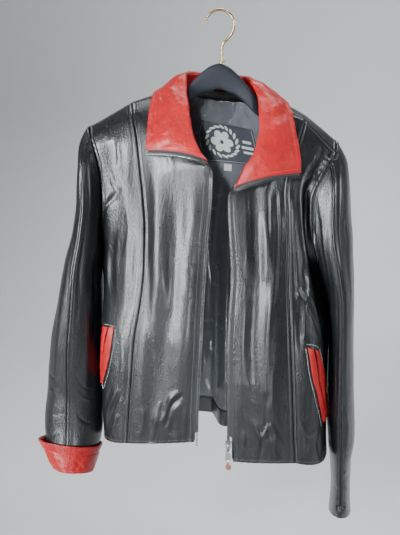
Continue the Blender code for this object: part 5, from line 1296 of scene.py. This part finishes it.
# height above the sleeve's end, how far the ring lies outside the sleeve, and further on its outer side
CUFF_RIGHT = [(0.6, 2.2, 0.0), (11, 2.6, 1.5), (23, 2.4, 3.5), (34, 3.0, 6.0), (44, 4.2, 9.0)]
CUFF_FACING_LEFT = [(2.0, -2.4, 0.0), (42, -2.4, 0.0)]


def cuff_points(tag, rings, angles):
    """Rings round a sleeve's end, larger or smaller than its own sections."""
    side, rows, sections = SLEEVES[tag]
    rings = np.array(rings, float)
    heads = sleeve_surface(rows, sections, side, angles, np.array([0.0]))[:, 0, 2]
    fall = heads - sections[-1][0]
    points = np.array([sleeve_surface(rows, sections, side, angles[k:k + 1], 1 - rings[:, 0] / fall[k])[0]
                       for k in range(len(angles))])
    middle = points.mean(axis=0)
    around = np.concatenate([points[-1:], points, points[:1]])
    normals = outward_normals(around, np.broadcast_to(middle, around.shape))[1:-1]
    outer = np.maximum(np.sin(np.radians(angles)), 0)[:, None] ** 2
    grown = points + normals * (rings[None, :, 1] + rings[None, :, 2] * outer)[..., None]
    return grown, middle


def finer(rings, count):
    rings = np.array(rings, float)
    return smooth_through(np.linspace(0, 1, len(rings)), rings, np.linspace(0, 1, count))


def build_cuffs():
    angles = np.linspace(0, 360, 121)[:-1]
    points, middle = cuff_points("right", finer(CUFF_RIGHT, 34), angles)
    inward = -outward_normals(np.concatenate([points[-1:], points, points[:1]]),
                              np.broadcast_to(middle, (len(points) + 2,) + points.shape[1:]))[1:-1]
    name = "cuff_right"
    edges = {(1, False): EDGE, (1, True): EDGE}
    sewn_panel(name, points, inward, np.linspace(0, 1, len(angles)), np.linspace(0, 1, 34), edges,
               CREASES.get(name, ()), PUCKERS.get(name, ()), material=RED, closed=True,
               seed=41,
               ripple=(0.5, 22))
    points, middle = cuff_points("left", finer(CUFF_FACING_LEFT, 14), angles)
    inward = -outward_normals(np.concatenate([points[-1:], points, points[:1]]),
                              np.broadcast_to(middle, (len(points) + 2,) + points.shape[1:]))[1:-1]
    sewn_panel("cuff_facing_left", points, inward, np.linspace(0, 1, len(angles)), np.linspace(0, 1, 14), {},
               (), (), material=RED, closed=True, seed=42, ripple=(0.1, 22),
               thickness=0.8)


# --- collar -------------------------------------------------------------------------------------

def build_collar():
    s = np.concatenate([[0.003, 0.0045, 0.006, 0.008, 0.0105], np.linspace(0.0135, 0.9865, 190),
                        [0.9895, 0.992, 0.994, 0.9955, 0.997]])
    t = np.concatenate([np.linspace(0, 0.18, 9)[:-1], np.linspace(0.18, 0.32, 17)[:-1],
                        np.linspace(0.32, 0.93, 26)[:-1], np.linspace(0.93, 1.0, 9)])
    top = collar_surface(s, t)
    normals = normals_of(top)
    edges = {(0, False): EDGE, (0, True): EDGE, (1, True): EDGE}
    away = np.minimum(distances(top, 0), (distances(top, 0)[-1:] - distances(top, 0)))
    hold = (1 - 0.85 * np.exp(-(away / 6.0) ** 2)) * np.clip(t / 0.2, 0, 1)[None, :]
    sewn_panel("collar_top", top, -normals, s, t, {}, CREASES.get("collar_top", ()),
               PUCKERS.get("collar_top", ()), thickness=1.1, material=RED, seed=51,
               ripple=(0.55, 24), hold=hold)
    under = collar_surface(s[::2], t[::2])
    normals = normals_of(under)
    under = under - normals * (LEATHER + UNDER_GAP)
    sewn_panel("collar_under", under, -normals, s[::2], t[::2], {}, (), (), thickness=1.1, material=BLACK,
               seed=52, ripple=(0.2, 24))
# --- zip ----------------------------------------------------------------------------------------
# Where the chain turns from the front onto the collar: chain x y z, direction to the leather x y z,
# distance from the chain's centre to the far edge of the tape.
ZIP_CORNER = {
    "right": [(0.5, -90, -225, -1, 0, 0, 4.6),
              (-1.2, -93.5, -216, -0.25, 0.96, 0.1, 3.6)],
    "left": [(28.8, -91, -256, 1, 0, 0, 4.6),
             (30.8, -94.5, -249.5, 0.25, 0.96, 0.1, 3.6)],
}
CORNER_REACH = 3.5       # the tape's far edge beside the collar's fold
# chain's centre to the leather at the hem, at the top of the front and along the collar;
# the height on the front where the corner starts; lowest Z of the chain and of the tape
ZIP_REACH = {"right": (6.1, 6.1, 6.0, 0.800, -643.0, -659), "left": (8.4, 6.0, 5.4, 0.775, -652.0, -684)}
TAPE_GAP = 0.9           # between the tape and the chain
PAST_SLIDER = (-645, 5.6)    # below this Z the left tape starts this far from the chain's centre
ZIP_STATIONS = 46


def zip_lines(tag):
    """The zip's chain centre, direction to the leather, reach to the tape's far edge, and normals."""
    at_hem, at_top, on_collar, top_place, chain_end, tape_end = ZIP_REACH[tag]
    side = -1 if tag == "right" else 1
    v = np.linspace(0.0, top_place, 20)
    front = front_points(tag, "centre", np.array([0.0, 0.06]), v)
    along = np.gradient(front[0], axis=0)
    along /= np.linalg.norm(along, axis=1, keepdims=True)
    inwards = front[1] - front[0]
    inwards -= along * np.sum(inwards * along, axis=1, keepdims=True)
    inwards /= np.linalg.norm(inwards, axis=1, keepdims=True)
    facing = np.cross(along, inwards)
    facing *= -np.sign(facing[:, 1:2])
    reach = np.linspace(at_hem, at_top, len(v))[:, None]
    middle = front[0] - facing * LEATHER / 2
    rows = [np.concatenate([middle - inwards * reach, inwards, reach - PIECE_GAP], axis=1)]
    rows.append(np.array(ZIP_CORNER[tag], float))
    t = np.concatenate([[0.31, 0.345, 0.38], np.linspace(0.43, 0.985, 11)])
    s = np.array([0.003, 0.02]) if tag == "right" else np.array([0.997, 0.98])
    leaf = collar_surface(np.sort(s), t)
    leaf = leaf if tag == "right" else leaf[::-1]
    along = np.gradient(leaf[0], axis=0)
    along /= np.linalg.norm(along, axis=1, keepdims=True)
    inwards = leaf[1] - leaf[0]
    inwards -= along * np.sum(inwards * along, axis=1, keepdims=True)
    inwards /= np.linalg.norm(inwards, axis=1, keepdims=True)
    facing = np.cross(along, inwards)
    facing *= -np.sign(facing[:, 1:2])
    middle = leaf[0] - facing * (LEATHER + UNDER_GAP / 2)
    tape_reach = np.minimum(on_collar - PIECE_GAP, CORNER_REACH + (t - t[0]) * 30)[:, None]
    rows.append(np.concatenate([middle - inwards * on_collar, inwards, tape_reach], axis=1))
    table = np.concatenate(rows)
    places = lengths_along(table[:, :3])
    lines = smooth_through(places, table, np.linspace(0, 1, ZIP_STATIONS * 4))
    chosen = lengths_along(lines[:, :3])
    lines = np.array([np.interp(np.linspace(0, 1, ZIP_STATIONS * 2), chosen, column)
                      for column in lines.T]).T
    centre, towards = lines[:, :3], lines[:, 3:6]
    along = np.gradient(centre, axis=0)
    along /= np.linalg.norm(along, axis=1, keepdims=True)
    towards = towards - along * np.sum(towards * along, axis=1, keepdims=True)
    towards /= np.linalg.norm(towards, axis=1, keepdims=True)
    normals = np.cross(along, towards) * side
    return centre, towards, lines[:, 6:7], normals




def read_line(table, places):
    return np.array([np.interp(places, np.linspace(0, 1, len(table)), column) for column in np.array(table).T]).T


def cut_line(lines, lowest):
    """The zip's lines from a height upwards."""
    height = lines[0][:, 2]
    straight = int(np.searchsorted(height[:ZIP_STATIONS], -300))
    first = int(np.argmax(height > lowest + 0.5))
    ends = [np.array([np.interp(lowest, height[:straight], column[:straight]) for column in line.T])
            for line in lines]
    return [np.concatenate([end[None], line[first:]]) for end, line in zip(ends, lines)]


def evenly(lines, step):
    """The lines read again at even steps along the first of them."""
    travelled = lengths_along(lines[0])
    total = np.sum(np.linalg.norm(np.diff(lines[0], axis=0), axis=1))
    places = np.linspace(0, 1, int(total / step) + 1)
    return [np.array([np.interp(places, travelled, column) for column in line.T]).T for line in lines]


def boxes_mesh(name, corner_sets, faces, material, body="jacket", smooth=False, bevel=0.0):
    """One mesh of many like pieces: corner_sets is (pieces, corners, 3) in metres."""
    count, corners = corner_sets.shape[:2]
    vertices = corner_sets.reshape(-1, 3)
    everything = [tuple(c + k * corners for c in face) for k in range(count) for face in faces]
    thing = new_object(name, vertices, everything, material, body=body, smooth=smooth)
    if bevel:
        edge = thing.modifiers.new("edge", "BEVEL")
        edge.width = bevel
        edge.segments = 1
    return thing


TOOTH = [  # place from tape (0) to tip (1), half length along the chain, half thickness
    (0.0, 0.62, 1.05), (0.42, 0.62, 1.20), (0.68, 0.50, 0.95), (1.0, 0.66, 1.10)]
TOOTH_PITCH = 2.35


def build_zip():
    for tag in FRONTS:
        sign = -1 if tag == "right" else 1
        chain_end, tape_end = ZIP_REACH[tag][4:6]
        lines = zip_lines(tag)
        centre, towards, reach, normals = evenly(cut_line(lines, chain_end), TOOTH_PITCH)
        towards, normals = unit(towards), unit(normals)
        along = unit(np.cross(towards, normals))
        rings = []
        for place, half_length, half_thickness in TOOTH:
            at = centre + towards * (CHAIN_WIDTH * (0.5 - place))
            for a, b in ((-1, -1), (1, -1), (1, 1), (-1, 1)):
                rings.append(at + along * a * half_length + normals * b * half_thickness)
        corners = hang(np.array(rings).transpose(1, 0, 2)) * MM
        faces = [(3, 2, 1, 0), (12, 13, 14, 15)]
        for row in range(3):
            for k in range(4):
                n = (k + 1) % 4
                faces.append((row * 4 + k, row * 4 + n, row * 4 + 4 + n, row * 4 + 4 + k))
        if sign > 0:
            faces = [face[::-1] for face in faces]
        teeth = boxes_mesh("zip_teeth_" + tag, corners, faces, ZIP_METAL)
        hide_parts("zip_chain_" + tag)
        centre, towards, reach, normals = evenly(cut_line(lines, tape_end), 2.5)
        towards, normals = unit(towards), unit(normals)
        start = np.full((len(centre), 1), CHAIN_WIDTH / 2 - 1.4)
        start[centre[:, 2] < (PAST_SLIDER[0] if tag == "left" else -644)] = 5.6 if tag == "left" else 2.8
        past = np.array([0.0, 0.3, 0.7, 1.2, 2.2, 3.4, 4.8, 6.4, 8.2, 10.0])
        cord = np.array([0.0, 0.75, 0.9, 0.45, 0.05, 0.0, 0.0, 0.0, 0.0, 0.0])
        grid = np.array([centre + towards * (start + p) + normals * (c - 0.15) for p, c in zip(past, cord)])
        tape = shell("zip_tape_" + tag, grid, -np.broadcast_to(normals, grid.shape), 0.5, TAPE_CLOTH,
                     ["zip_tape_" + tag])
        PANELS["zip_tape_" + tag] = {"points": grid}
        tape["teeth"] = teeth.name




def patch(name, base, rows, shape, lift, thickness, material, puff=0.0, fold=None, seed=1, ripple=0.15):
    """A thin piece laid on a panel. Each row gives v and the u of the piece's two sides."""
    grid, u, v = base
    columns, count = shape
    table = smooth_through(np.linspace(0, 1, len(rows)), np.array(rows, float), np.linspace(0, 1, count))
    across = np.linspace(0, 1, columns)[:, None]
    at_u = table[None, :, 1] * (1 - across) + table[None, :, 2] * across
    at_v = table[None, :, 0] * (1 - across) + table[None, :, 3] * across
    points = read_grid(grid, u, v, at_u, at_v)
    out = np.sign(lift) * outward_normals(points, body_axis(points))
    form = np.sin(math.pi * across) ** 0.6
    if fold is not None:
        towards = across if fold == "far" else 1 - across
        form = form * (0.35 + 0.9 * towards ** 1.5)
    rise = puff * form + ripple * waves(points, 9, seed)
    far = points + out * (abs(lift) + thickness + rise)[..., None]
    PANELS[name] = {"points": far, "inward": -out, "u": np.linspace(0, 1, columns), "v": np.linspace(0, 1, count)}
    grid, down = far, -out
    for axis, end in ((1, False), (1, True), (0, False), (0, True)):
        grid, down = turn_edge(grid, down, axis, end, [(0.3, 0.35), (0.4, 0.9)])
    return shell(name, grid, down, 0.8, material, [name])


def build_welts():
    for name, (tag, rows) in WELTS.items():
        panel = PANELS["front_side_" + tag]
        patch(name, (panel["points"], panel["u"], panel["v"]), rows, (16, 90), WELT_LIFT * 0.4, LEATHER, RED,
              puff=2.1, fold="far" if name.endswith("front") else "near", seed=61, ripple=0.22)


# v of a row and the u of its two sides, as the rows of the label have them
TAG_SHOWN = [(0.760, 0.5055, 0.5195, 0.760), (0.743, 0.5055, 0.5195, 0.743)]


def build_labels():
    panel = PANELS["lining_back"]
    base = (panel["points"], panel["u"], panel["v"])
    patch("label_patch", base, LABEL_ROWS, (46, 46), -(LABEL_LIFT + 0.2), 0.9, LABEL_CLOTH, seed=71)
    patch("size_tag", base, TAG_SHOWN, (14, 16), -(LABEL_LIFT + 0.2), 0.9, TAG_CLOTH, seed=72)
    build_emblem()


def shape_on(name, panel_name, centre, size, outline, lift, material, rings=7, spokes=72):
    """A raised embroidered shape on a piece: outline gives its reach at each angle, size in the piece's places."""
    panel = PANELS[panel_name]
    turn = np.linspace(0, 2 * math.pi, spokes + 1)[:-1]
    reach = outline(turn)
    places = [(centre[0], centre[1])]
    heights = [lift]
    for ring in range(1, rings + 1):
        part = ring / rings
        for angle, far in zip(turn, reach):
            places.append((centre[0] + size[0] * part * far * math.cos(angle),
                           centre[1] + size[1] * part * far * math.sin(angle)))
            heights.append(lift * (1.0 if ring < rings else -0.2))
    places = np.array(places)
    at = read_grid(panel["points"], panel["u"], panel["v"], places[:, 0], places[:, 1])
    out = unit(read_grid(-panel["inward"], panel["u"], panel["v"], places[:, 0], places[:, 1]))
    vertices = hang(at + out * np.array(heights)[:, None]) * MM
    faces = [(0, 1 + k, 1 + (k + 1) % spokes) for k in range(spokes)]
    for ring in range(rings - 1):
        for k in range(spokes):
            n = (k + 1) % spokes
            faces.append((1 + ring * spokes + k, 1 + (ring + 1) * spokes + k,
                          1 + (ring + 1) * spokes + n, 1 + ring * spokes + n))
    return new_object(name, vertices, faces, material, angle=0)


def build_emblem():
    """A plain leaf wreath round a six-petalled flower, with three bars under it."""
    middle, size = (0.41, 0.45), (0.255, 0.375)
    count = 18
    for k in range(count):
        angle = 2 * math.pi * (k + 0.5) / count
        place = (middle[0] + size[0] * math.cos(angle), middle[1] + size[1] * math.sin(angle))
        slope = math.atan2(math.cos(angle) * size[1], -math.sin(angle) * size[0]) + 0.55

        def leaf(turn, slope=slope):
            return 1 / np.sqrt(np.cos(turn - slope) ** 2 + (np.sin(turn - slope) / 0.36) ** 2)

        shape_on("label_leaf_%02d" % (k + 1), "label_patch", place, (0.064, 0.088), leaf, 0.36, EMBROIDERY, 3, 18)

    def flower(turn):
        return 0.62 + 0.38 * np.abs(np.cos(3 * turn)) ** 0.7

    shape_on("label_flower", "label_patch", middle, (0.190, 0.285), flower, 0.40, EMBROIDERY)
    shape_on("label_flower_heart", "label_patch", middle, (0.040, 0.062), np.ones_like, 0.62, LABEL_CLOTH, 3, 24)
    for k, (place, half) in enumerate((((0.84, 0.64), 0.095), ((0.84, 0.50), 0.11), ((0.84, 0.36), 0.08))):

        def bar(turn, half=half):
            wide, tall = np.abs(np.cos(turn)) / half, np.abs(np.sin(turn)) / 0.036
            return 1 / np.maximum(wide, tall)

        shape_on("label_bar_%d" % (k + 1), "label_patch", place, (1.0, 1.0), bar, 0.26, EMBROIDERY, 3, 40)


POCKET_STITCHES = {
    "front_side_right": [[(0.30, 0.345), (0.285, 0.318), (0.33, 0.262), (0.42, 0.205), (0.575, 0.152)],
                         [(0.31, 0.352), (0.42, 0.350), (0.55, 0.345), (0.655, 0.340)],
                         [(0.60, 0.148), (0.74, 0.152), (0.90, 0.160)]],
    "front_side_left": [[(0.222, 0.360), (0.262, 0.300), (0.318, 0.252), (0.430, 0.198), (0.560, 0.145),
                         (0.650, 0.105)],
                        [(0.235, 0.371), (0.340, 0.367), (0.420, 0.362), (0.500, 0.352)],
                        [(0.515, 0.350), (0.655, 0.296), (0.800, 0.240), (0.925, 0.190), (0.985, 0.150)]],
}


def build_stitches():
    for tag in FRONTS:
        centre, side = "front_centre_" + tag, "front_side_" + tag
        sew("grey", *edge_track(centre, 0, False, 4.4), slant=0.25)
        sew("grey", *edge_track(centre, 1, False, 4.0))
        sew("grey", *edge_track(side, 1, False, 4.0))
        sew("grey", *edge_track(side, 0, False, 2.7))
        sew("grey", *edge_track(side, 0, True, 2.8, 0.72, 1.0))
        sew("grey", *edge_track(side, 1, True, 2.6))
        for line in POCKET_STITCHES[side]:
            sew("pale", *placed_track(side, line), pitch=2.9, length=1.9, width=0.7, slant=0.6)
    sew("grey", *edge_track("sleeve_upper_left", 1, True, 7.0, 0.05, 0.95))
    sew("grey", *edge_track("sleeve_under_left", 1, True, 7.0, 0.05, 0.95))
    sew("grey", *edge_track("back", 1, False, 4.0))
    for end in (False, True):
        sew("red", *edge_track("collar_top", 0, end, 5.2, 0.30, 0.96))
        sew("red", *edge_track("cuff_right", 1, end, 3.4))
    sew("red", *edge_track("collar_top", 1, True, 5.2, 0.02, 0.98))
    for axis, end in ((1, True), (0, False), (0, True)):
        sew("white", *edge_track("label_patch", axis, end, 2.2, 0.03, 0.97), pitch=3.0, length=2.1, width=0.9,
            height=0.34)
    threads = {"grey": GREY_THREAD, "pale": PALE_THREAD, "red": RED_THREAD, "white": PALE_THREAD}
    faces = [(4, 5, 6, 7), (0, 1, 5, 4), (1, 2, 6, 5), (2, 3, 7, 6), (3, 0, 4, 7)]
    for thread, groups in STITCHES.items():
        corners = hang(np.concatenate(groups)) * MM
        boxes_mesh("stitches_" + thread, corners, faces, threads[thread])
SLIDER = (31.2, -98.6, -659.5)
PIVOT_UP = 3.6           # the pull's crossbar above the slider's centre
PIVOT_OUT = 5.6          # and in front of it
# half width, half thickness, height above the anchor
SLIDER_ROWS = [(3.2, 1.6, 7.0), (4.6, 2.6, 6.0), (5.0, 2.9, 3.0), (4.3, 2.9, -2.0), (3.6, 2.8, -5.5),
               (2.9, 1.8, -6.8)]
BRIDGE = [(-2.4, 6.1), (-5.5, 6.1), (-7.3, 4.6), (-7.7, 2.0), (-7.3, -1.5), (-5.2, -4.6), (-2.4, -5.2)]
BRIDGE_SECTION = (1.2, 0.6)
BOX_ROWS = [(1.5, 1.0, -7.3), (1.6, 1.1, -17.0), (1.8, 1.2, -17.6), (4.2, 2.2, -18.4), (4.4, 2.4, -27.0),
            (3.9, 2.0, -28.2)]
PIN = (-19.4, -98.6, -655.0)
PIN_ROWS = [(1.3, 1.0, 11.6), (1.4, 1.1, 9.0), (1.3, 1.1, -12.0), (0.9, 0.7, -13.2)]
# the pull below its crossbar: height, half width, half width of the hole, half thickness, x shift
PULL_ROWS = [(0.75, 2.9, 1.75, 0.7, 0.0), (-0.75, 3.1, 1.75, 0.7, 0.0), (-6.0, 3.2, 1.75, 0.7, 0.1),
             (-11.8, 3.2, 1.75, 0.7, 0.2), (-13.6, 3.5, 1.75, 0.9, 0.3), (-20.0, 3.9, 1.9, 0.9, 0.5),
             (-25.5, 2.7, 1.4, 0.9, 0.7), (-27.5, 1.6, 0.8, 0.8, 0.9), (-29.5, 2.2, 1.1, 1.2, 1.0),
             (-34.5, 3.6, 1.8, 1.7, 1.2), (-40.0, 4.7, 2.4, 1.9, 1.4), (-43.5, 3.6, 1.8, 1.4, 1.5),
             (-44.8, 1.6, 0.8, 0.7, 1.5)]
PULL_HOLE = (1, 3)       # the hole lies between these rows


# The pocket lips. Panel, then rows down each lip: v at the inner side, u inner, u outer, v at the outer
WELTS = {
    "welt_right_front": ("right", [(0.352, 0.330, 0.440, 0.340), (0.310, 0.340, 0.500, 0.298),
                                   (0.260, 0.380, 0.580, 0.250), (0.212, 0.470, 0.680, 0.202),
                                   (0.165, 0.620, 0.740, 0.158)]),
    "welt_right_back": ("right", [(0.342, 0.475, 0.640, 0.335), (0.300, 0.540, 0.720, 0.293),
                                  (0.255, 0.620, 0.820, 0.247), (0.205, 0.720, 0.880, 0.199),
                                  (0.170, 0.790, 0.900, 0.165)]),
    "welt_left_front": ("left", [(0.362, 0.255, 0.345, 0.355), (0.320, 0.290, 0.410, 0.310),
                                 (0.265, 0.345, 0.490, 0.255), (0.215, 0.470, 0.620, 0.205),
                                 (0.160, 0.590, 0.760, 0.150), (0.118, 0.680, 0.850, 0.110)]),
    "welt_left_back": ("left", [(0.352, 0.380, 0.480, 0.345), (0.308, 0.450, 0.610, 0.300),
                                (0.250, 0.540, 0.760, 0.243), (0.205, 0.665, 0.890, 0.198),
                                (0.155, 0.800, 0.960, 0.148), (0.115, 0.885, 0.975, 0.110)]),
}
# the back's lining: v at the left side, u left, u right, v at the right side
LABEL_ROWS = [(0.862, 0.447, 0.580, 0.850), (0.842, 0.444, 0.578, 0.828), (0.815, 0.448, 0.577, 0.805),
              (0.790, 0.455, 0.577, 0.785), (0.764, 0.464, 0.576, 0.764)]
TAG_ROWS = [(0.757, 0.502, 0.523, 0.757), (0.738, 0.502, 0.523, 0.738)]


HANGER = [(-12, 38, 5.5, 2, -79), (0, 38, 5.5, 2, -75.5), (12, 38, 5.5, 2, -79), (25, 33, 5.6, 2, -88),
          (38, 30, 5.8, 1, -100.5), (50, 29, 6, 0, -113)]
HANGER_ENDS = (-189, 168)
HANGER_TOP_EASE = 3.7    # how far the bar's top lies below the shoulders' ridge


def hanger_sections():
    """Sections of the hanger's bar from its right end to its left: x y z of the top, height, half thickness."""
    shoulders = np.array([row[1:] for row in SHOULDERS], float)
    middle = np.array([(x, y, z, height, half) for x, height, half, y, z in HANGER], float)
    mirrored = middle[3:][::-1].copy()
    mirrored[:, 0] *= -1
    sections = [tuple(row) for row in mirrored] + [tuple(row) for row in middle]
    for side, end in ((-1, HANGER_ENDS[0]), (1, HANGER_ENDS[1])):
        places = np.linspace(68 * side, end, 8)
        y = np.interp(places, shoulders[:, 0], shoulders[:, 3]) - 1.5
        z = np.interp(places, shoulders[:, 0], shoulders[:, 4]) - LEATHER - PLASTIC_GAP - HANGER_TOP_EASE
        part = np.abs(places - 68 * side) / abs(end - 68 * side)
        height = 27 - 8 * part
        half = 6.2 + 1.6 * np.sin(math.pi * np.clip(part, 0, 0.8) / 0.8 / 2)
        added = [tuple(row) for row in np.stack([places, y, z, height, half], axis=1)]
        sections = added[::-1] + sections if side < 0 else sections + added
    return np.array(sections)


def closed_loft(name, rings, material, nodes, body="jacket", lean=True, subdivide=0, angle=50):
    """A solid through closed rings of points, its two ends capped."""
    count, sides = len(rings), len(rings[0])
    points = hang(rings) if lean else np.array(rings, float)
    faces = [tuple(range(sides))[::-1], tuple((count - 1) * sides + k for k in range(sides))]
    for i in range(count - 1):
        for k in range(sides):
            following = (k + 1) % sides
            faces.append((i * sides + k, i * sides + following,
                          (i + 1) * sides + following, (i + 1) * sides + k))
    mesh = bpy.data.meshes.new(name)
    mesh.from_pydata((points * MM).reshape(-1, 3).tolist(), [], faces)
    mesh.validate()
    form = bmesh.new()
    form.from_mesh(mesh)
    bmesh.ops.recalc_face_normals(form, faces=form.faces)
    form.to_mesh(mesh)
    form.free()
    mesh.materials.append(material)
    mesh.shade_smooth()
    if angle:
        mesh.set_sharp_from_angle(angle=math.radians(angle))
    thing = bpy.data.objects.new(dressed_name(name), mesh)
    bpy.context.scene.collection.objects.link(thing)
    if subdivide:
        smooth = thing.modifiers.new("smooth", "SUBSURF")
        smooth.levels = subdivide
        smooth.render_levels = subdivide
    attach(thing, body)
    if nodes:
        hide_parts(*nodes)
    return thing


def build_hanger():
    rows = hanger_sections()
    places = lengths_along(rows[:, :3])
    rows = smooth_through(places, rows, np.linspace(0, 1, 150))
    turn = np.linspace(0, 2 * math.pi, 33)[:-1]
    rings = []
    for x, y, z, height, half in rows:
        across = np.sign(np.sin(turn)) * np.abs(np.sin(turn)) ** 0.6
        down = 0.5 - 0.5 * np.sign(np.cos(turn)) * np.abs(np.cos(turn)) ** 0.8
        rings.append(np.stack([np.full_like(turn, x), y + across * half, z - down * height], axis=1))
    for end, shrinks in ((0, (0.55, 0.85)), (-1, (0.85, 0.55))):
        ring = np.array(rings[end])
        centre = ring.mean(axis=0)
        extra = []
        for shrink in shrinks:
            capped = centre + (ring - centre) * shrink
            capped[:, 0] += math.copysign(4.5 if shrink < 0.6 else 2.6, rows[end][0])
            extra.append(capped)
        rings = extra + rings if end == 0 else rings + extra
    closed_loft("hanger_body", rings, PLASTIC, ["hanger_body"])


# hook: x z of the wire's middle and its radius, from the tip over the top and down to the boss
HOOK_CENTRE_Z = 1.9 - HOOK_RADIUS
HOOK_ARC = (156, -14)    # degrees from +X
HOOK_NECK = [(20.2, -27.5, 1.9), (17.0, -34.0, 1.9), (11.5, -40.0, 1.9), (6.4, -45.0, 1.9),
             (3.9, -51.0, 1.9), (3.5, -58.0, 1.9), (3.5, -70.4, 1.9), (3.5, -71.0, BOSS_RADIUS),
             (3.5, -75.1, BOSS_RADIUS)]
HOOK_TIP = [(162.5, 1.0), (161.0, 2.2), (157.5, 2.6), (154.0, 2.2), (151.5, 1.9)]


def build_hook():
    stations = list(HOOK_TIP) + [(angle, HOOK_WIRE / 2) for angle in np.linspace(145, HOOK_ARC[1], 14)]
    path = [(HOOK_RADIUS * math.cos(math.radians(a)), HOOK_CENTRE_Z + HOOK_RADIUS * math.sin(math.radians(a)), r)
            for a, r in stations] + HOOK_NECK[:-2]
    path = np.array(path)
    path = smooth_through(lengths_along(path[:, :2]), path, np.linspace(0, 1, 120))
    boss = np.array([(3.5, -70.4, 1.9), (3.5, -70.5, 3.2), (3.5, -71.0, 4.1), (3.5, -71.8, BOSS_RADIUS),
                     (3.5, -73.0, 3.6), (3.5, -73.6, 3.6), (3.5, -74.0, BOSS_RADIUS), (3.5, -75.1, BOSS_RADIUS)])
    path = np.concatenate([path, boss])
    middle = path[:, :2]
    along = np.gradient(middle, axis=0)
    along[-9:] = (0, -1)
    along /= np.maximum(np.linalg.norm(along, axis=1, keepdims=True), 1e-9)
    square = np.stack([along[:, 1], -along[:, 0]], axis=1)
    turn = np.radians(np.arange(20) * 18)
    rings = []
    for (x, z, radius), (sx, sz) in zip(path, square):
        rings.append([(x + sx * radius * math.cos(a), radius * math.sin(a), z + sz * radius * math.cos(a))
                      for a in turn])
    closed_loft("hanger_hook", rings, HOOK_METAL, ["hanger_hook"], lean=False)


# --- floor, light and camera --------------------------------------------------------------------

def build_stage():
    profile = [(-3.0, -1.02), (1.1, -1.02)]
    for step in range(1, 13):
        angle = math.radians(90 * step / 12)
        profile.append((1.1 + 0.7 * math.sin(angle), -1.02 + 0.7 * (1 - math.cos(angle))))
    profile.append((1.8, 2.6))
    vertices = [(x, y, z) for y, z in profile for x in (-3.5, 3.5)]
    faces = [(2 * k, 2 * k + 1, 2 * k + 3, 2 * k + 2) for k in range(len(profile) - 1)]
    mesh = bpy.data.meshes.new("floor")
    mesh.from_pydata(vertices, [], faces)
    mesh.shade_smooth()
    material = bpy.data.materials.new("floor")
    material.use_nodes = True
    shader = material.node_tree.nodes["Principled BSDF"]
    shader.inputs["Base Color"].default_value = (0.58, 0.58, 0.59, 1.0)
    shader.inputs["Roughness"].default_value = 0.9
    mesh.materials.append(material)
    floor = bpy.data.objects.new("floor", mesh)
    bpy.context.scene.collection.objects.link(floor)


def add_light(name, place, aim, size, power, spread=180.0, colour=(0.93, 0.985, 1.0)):
    light = bpy.data.lights.new(name, "AREA")
    light.shape = "RECTANGLE"
    light.size, light.size_y = size
    light.energy = power
    light.spread = math.radians(spread)
    light.color = colour
    lamp = bpy.data.objects.new(name, light)
    lamp.location = place
    lamp.rotation_euler = (Vector(aim) - Vector(place)).to_track_quat("-Z", "Y").to_euler()
    bpy.context.scene.collection.objects.link(lamp)


def build_lights():
    middle = (0.0, 0.0, -0.42)
    add_light("left", (-1.7, -1.3, -0.30), (-0.2, -0.05, -0.5), (0.4, 0.9), 6.0, 70)
    add_light("low_right", (0.25, -1.9, -0.95), (0.10, 0.0, -0.62), (0.5, 0.25), 0.8, 40)
    add_light("key", (-1.40, -1.65, 0.40), middle, (0.55, 0.55), 7.0, 60)
    add_light("low", (-1.15, -1.70, -0.70), (-0.05, 0.0, -0.38), (0.50, 0.50), 4.0, 60)
    add_light("front", (0.30, -2.1, 0.50), (0.0, 0.0, -0.30), (0.4, 0.4), 0.15, 60)
    add_light("side", (1.9, -0.35, 0.10), middle, (0.5, 1.2), 9.0, 90)
    add_light("neck", (-0.15, -1.6, 0.40), (0.02, 0.03, -0.215), (0.12, 0.12), 0.10, 9)
    add_light("top", (0.1, 0.6, 1.4), middle, (1.2, 0.6), 10, 120)
    add_light("backdrop", (0.0, 0.75, 1.9), (0.0, 1.45, -0.8), (2.6, 0.5), 26, 110)
    world = bpy.data.worlds.new("studio")
    world.use_nodes = True
    back = world.node_tree.nodes["Background"]
    back.inputs["Color"].default_value = (0.80, 0.82, 0.85, 1.0)
    back.inputs["Strength"].default_value = 0.13
    bpy.context.scene.world = world


CAMERA_AZIMUTH, CAMERA_ELEVATION, CAMERA_DISTANCE = 9.0, 17.0, 1.3
CAMERA_AIM = (-0.022, -0.05, -0.3825)


def build_camera():
    azimuth, elevation = math.radians(CAMERA_AZIMUTH), math.radians(CAMERA_ELEVATION)
    back = Vector((math.sin(azimuth) * math.cos(elevation), -math.cos(azimuth) * math.cos(elevation),
                   math.sin(elevation)))
    data = bpy.data.cameras.new("camera")
    data.sensor_fit = "VERTICAL"
    data.sensor_height = 36.0
    data.lens = 833.333 * 36.0 / 535.0
    data.clip_start = 0.01
    camera = bpy.data.objects.new("camera", data)
    camera.location = Vector(CAMERA_AIM) + back * CAMERA_DISTANCE
    camera.rotation_euler = (-back).to_track_quat("-Z", "Y").to_euler()
    bpy.context.scene.collection.objects.link(camera)
    bpy.context.scene.camera = camera


def finish_nodes():
    """The CAD nodes that stay get the slider's and the pull's own metal materials."""
    for name, material in (("zip_slider", SLIDER_METAL), ("zip_box", SLIDER_METAL), ("zip_pin", SLIDER_METAL),
                           ("zip_pull", PULL_METAL)):
        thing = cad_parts[name]
        for held in thing.material_slots:
            held.material = material


def main():
    for tag in FRONTS:
        build_front(tag)
    build_back()
    build_lining()
    for tag in SLEEVES:
        build_sleeve(tag)
    build_cuffs()
    build_collar()
    build_zip()
    build_welts()
    build_labels()
    build_stitches()
    build_hanger()
    build_hook()
    finish_nodes()
    build_stage()
    build_lights()
    build_camera()


main()
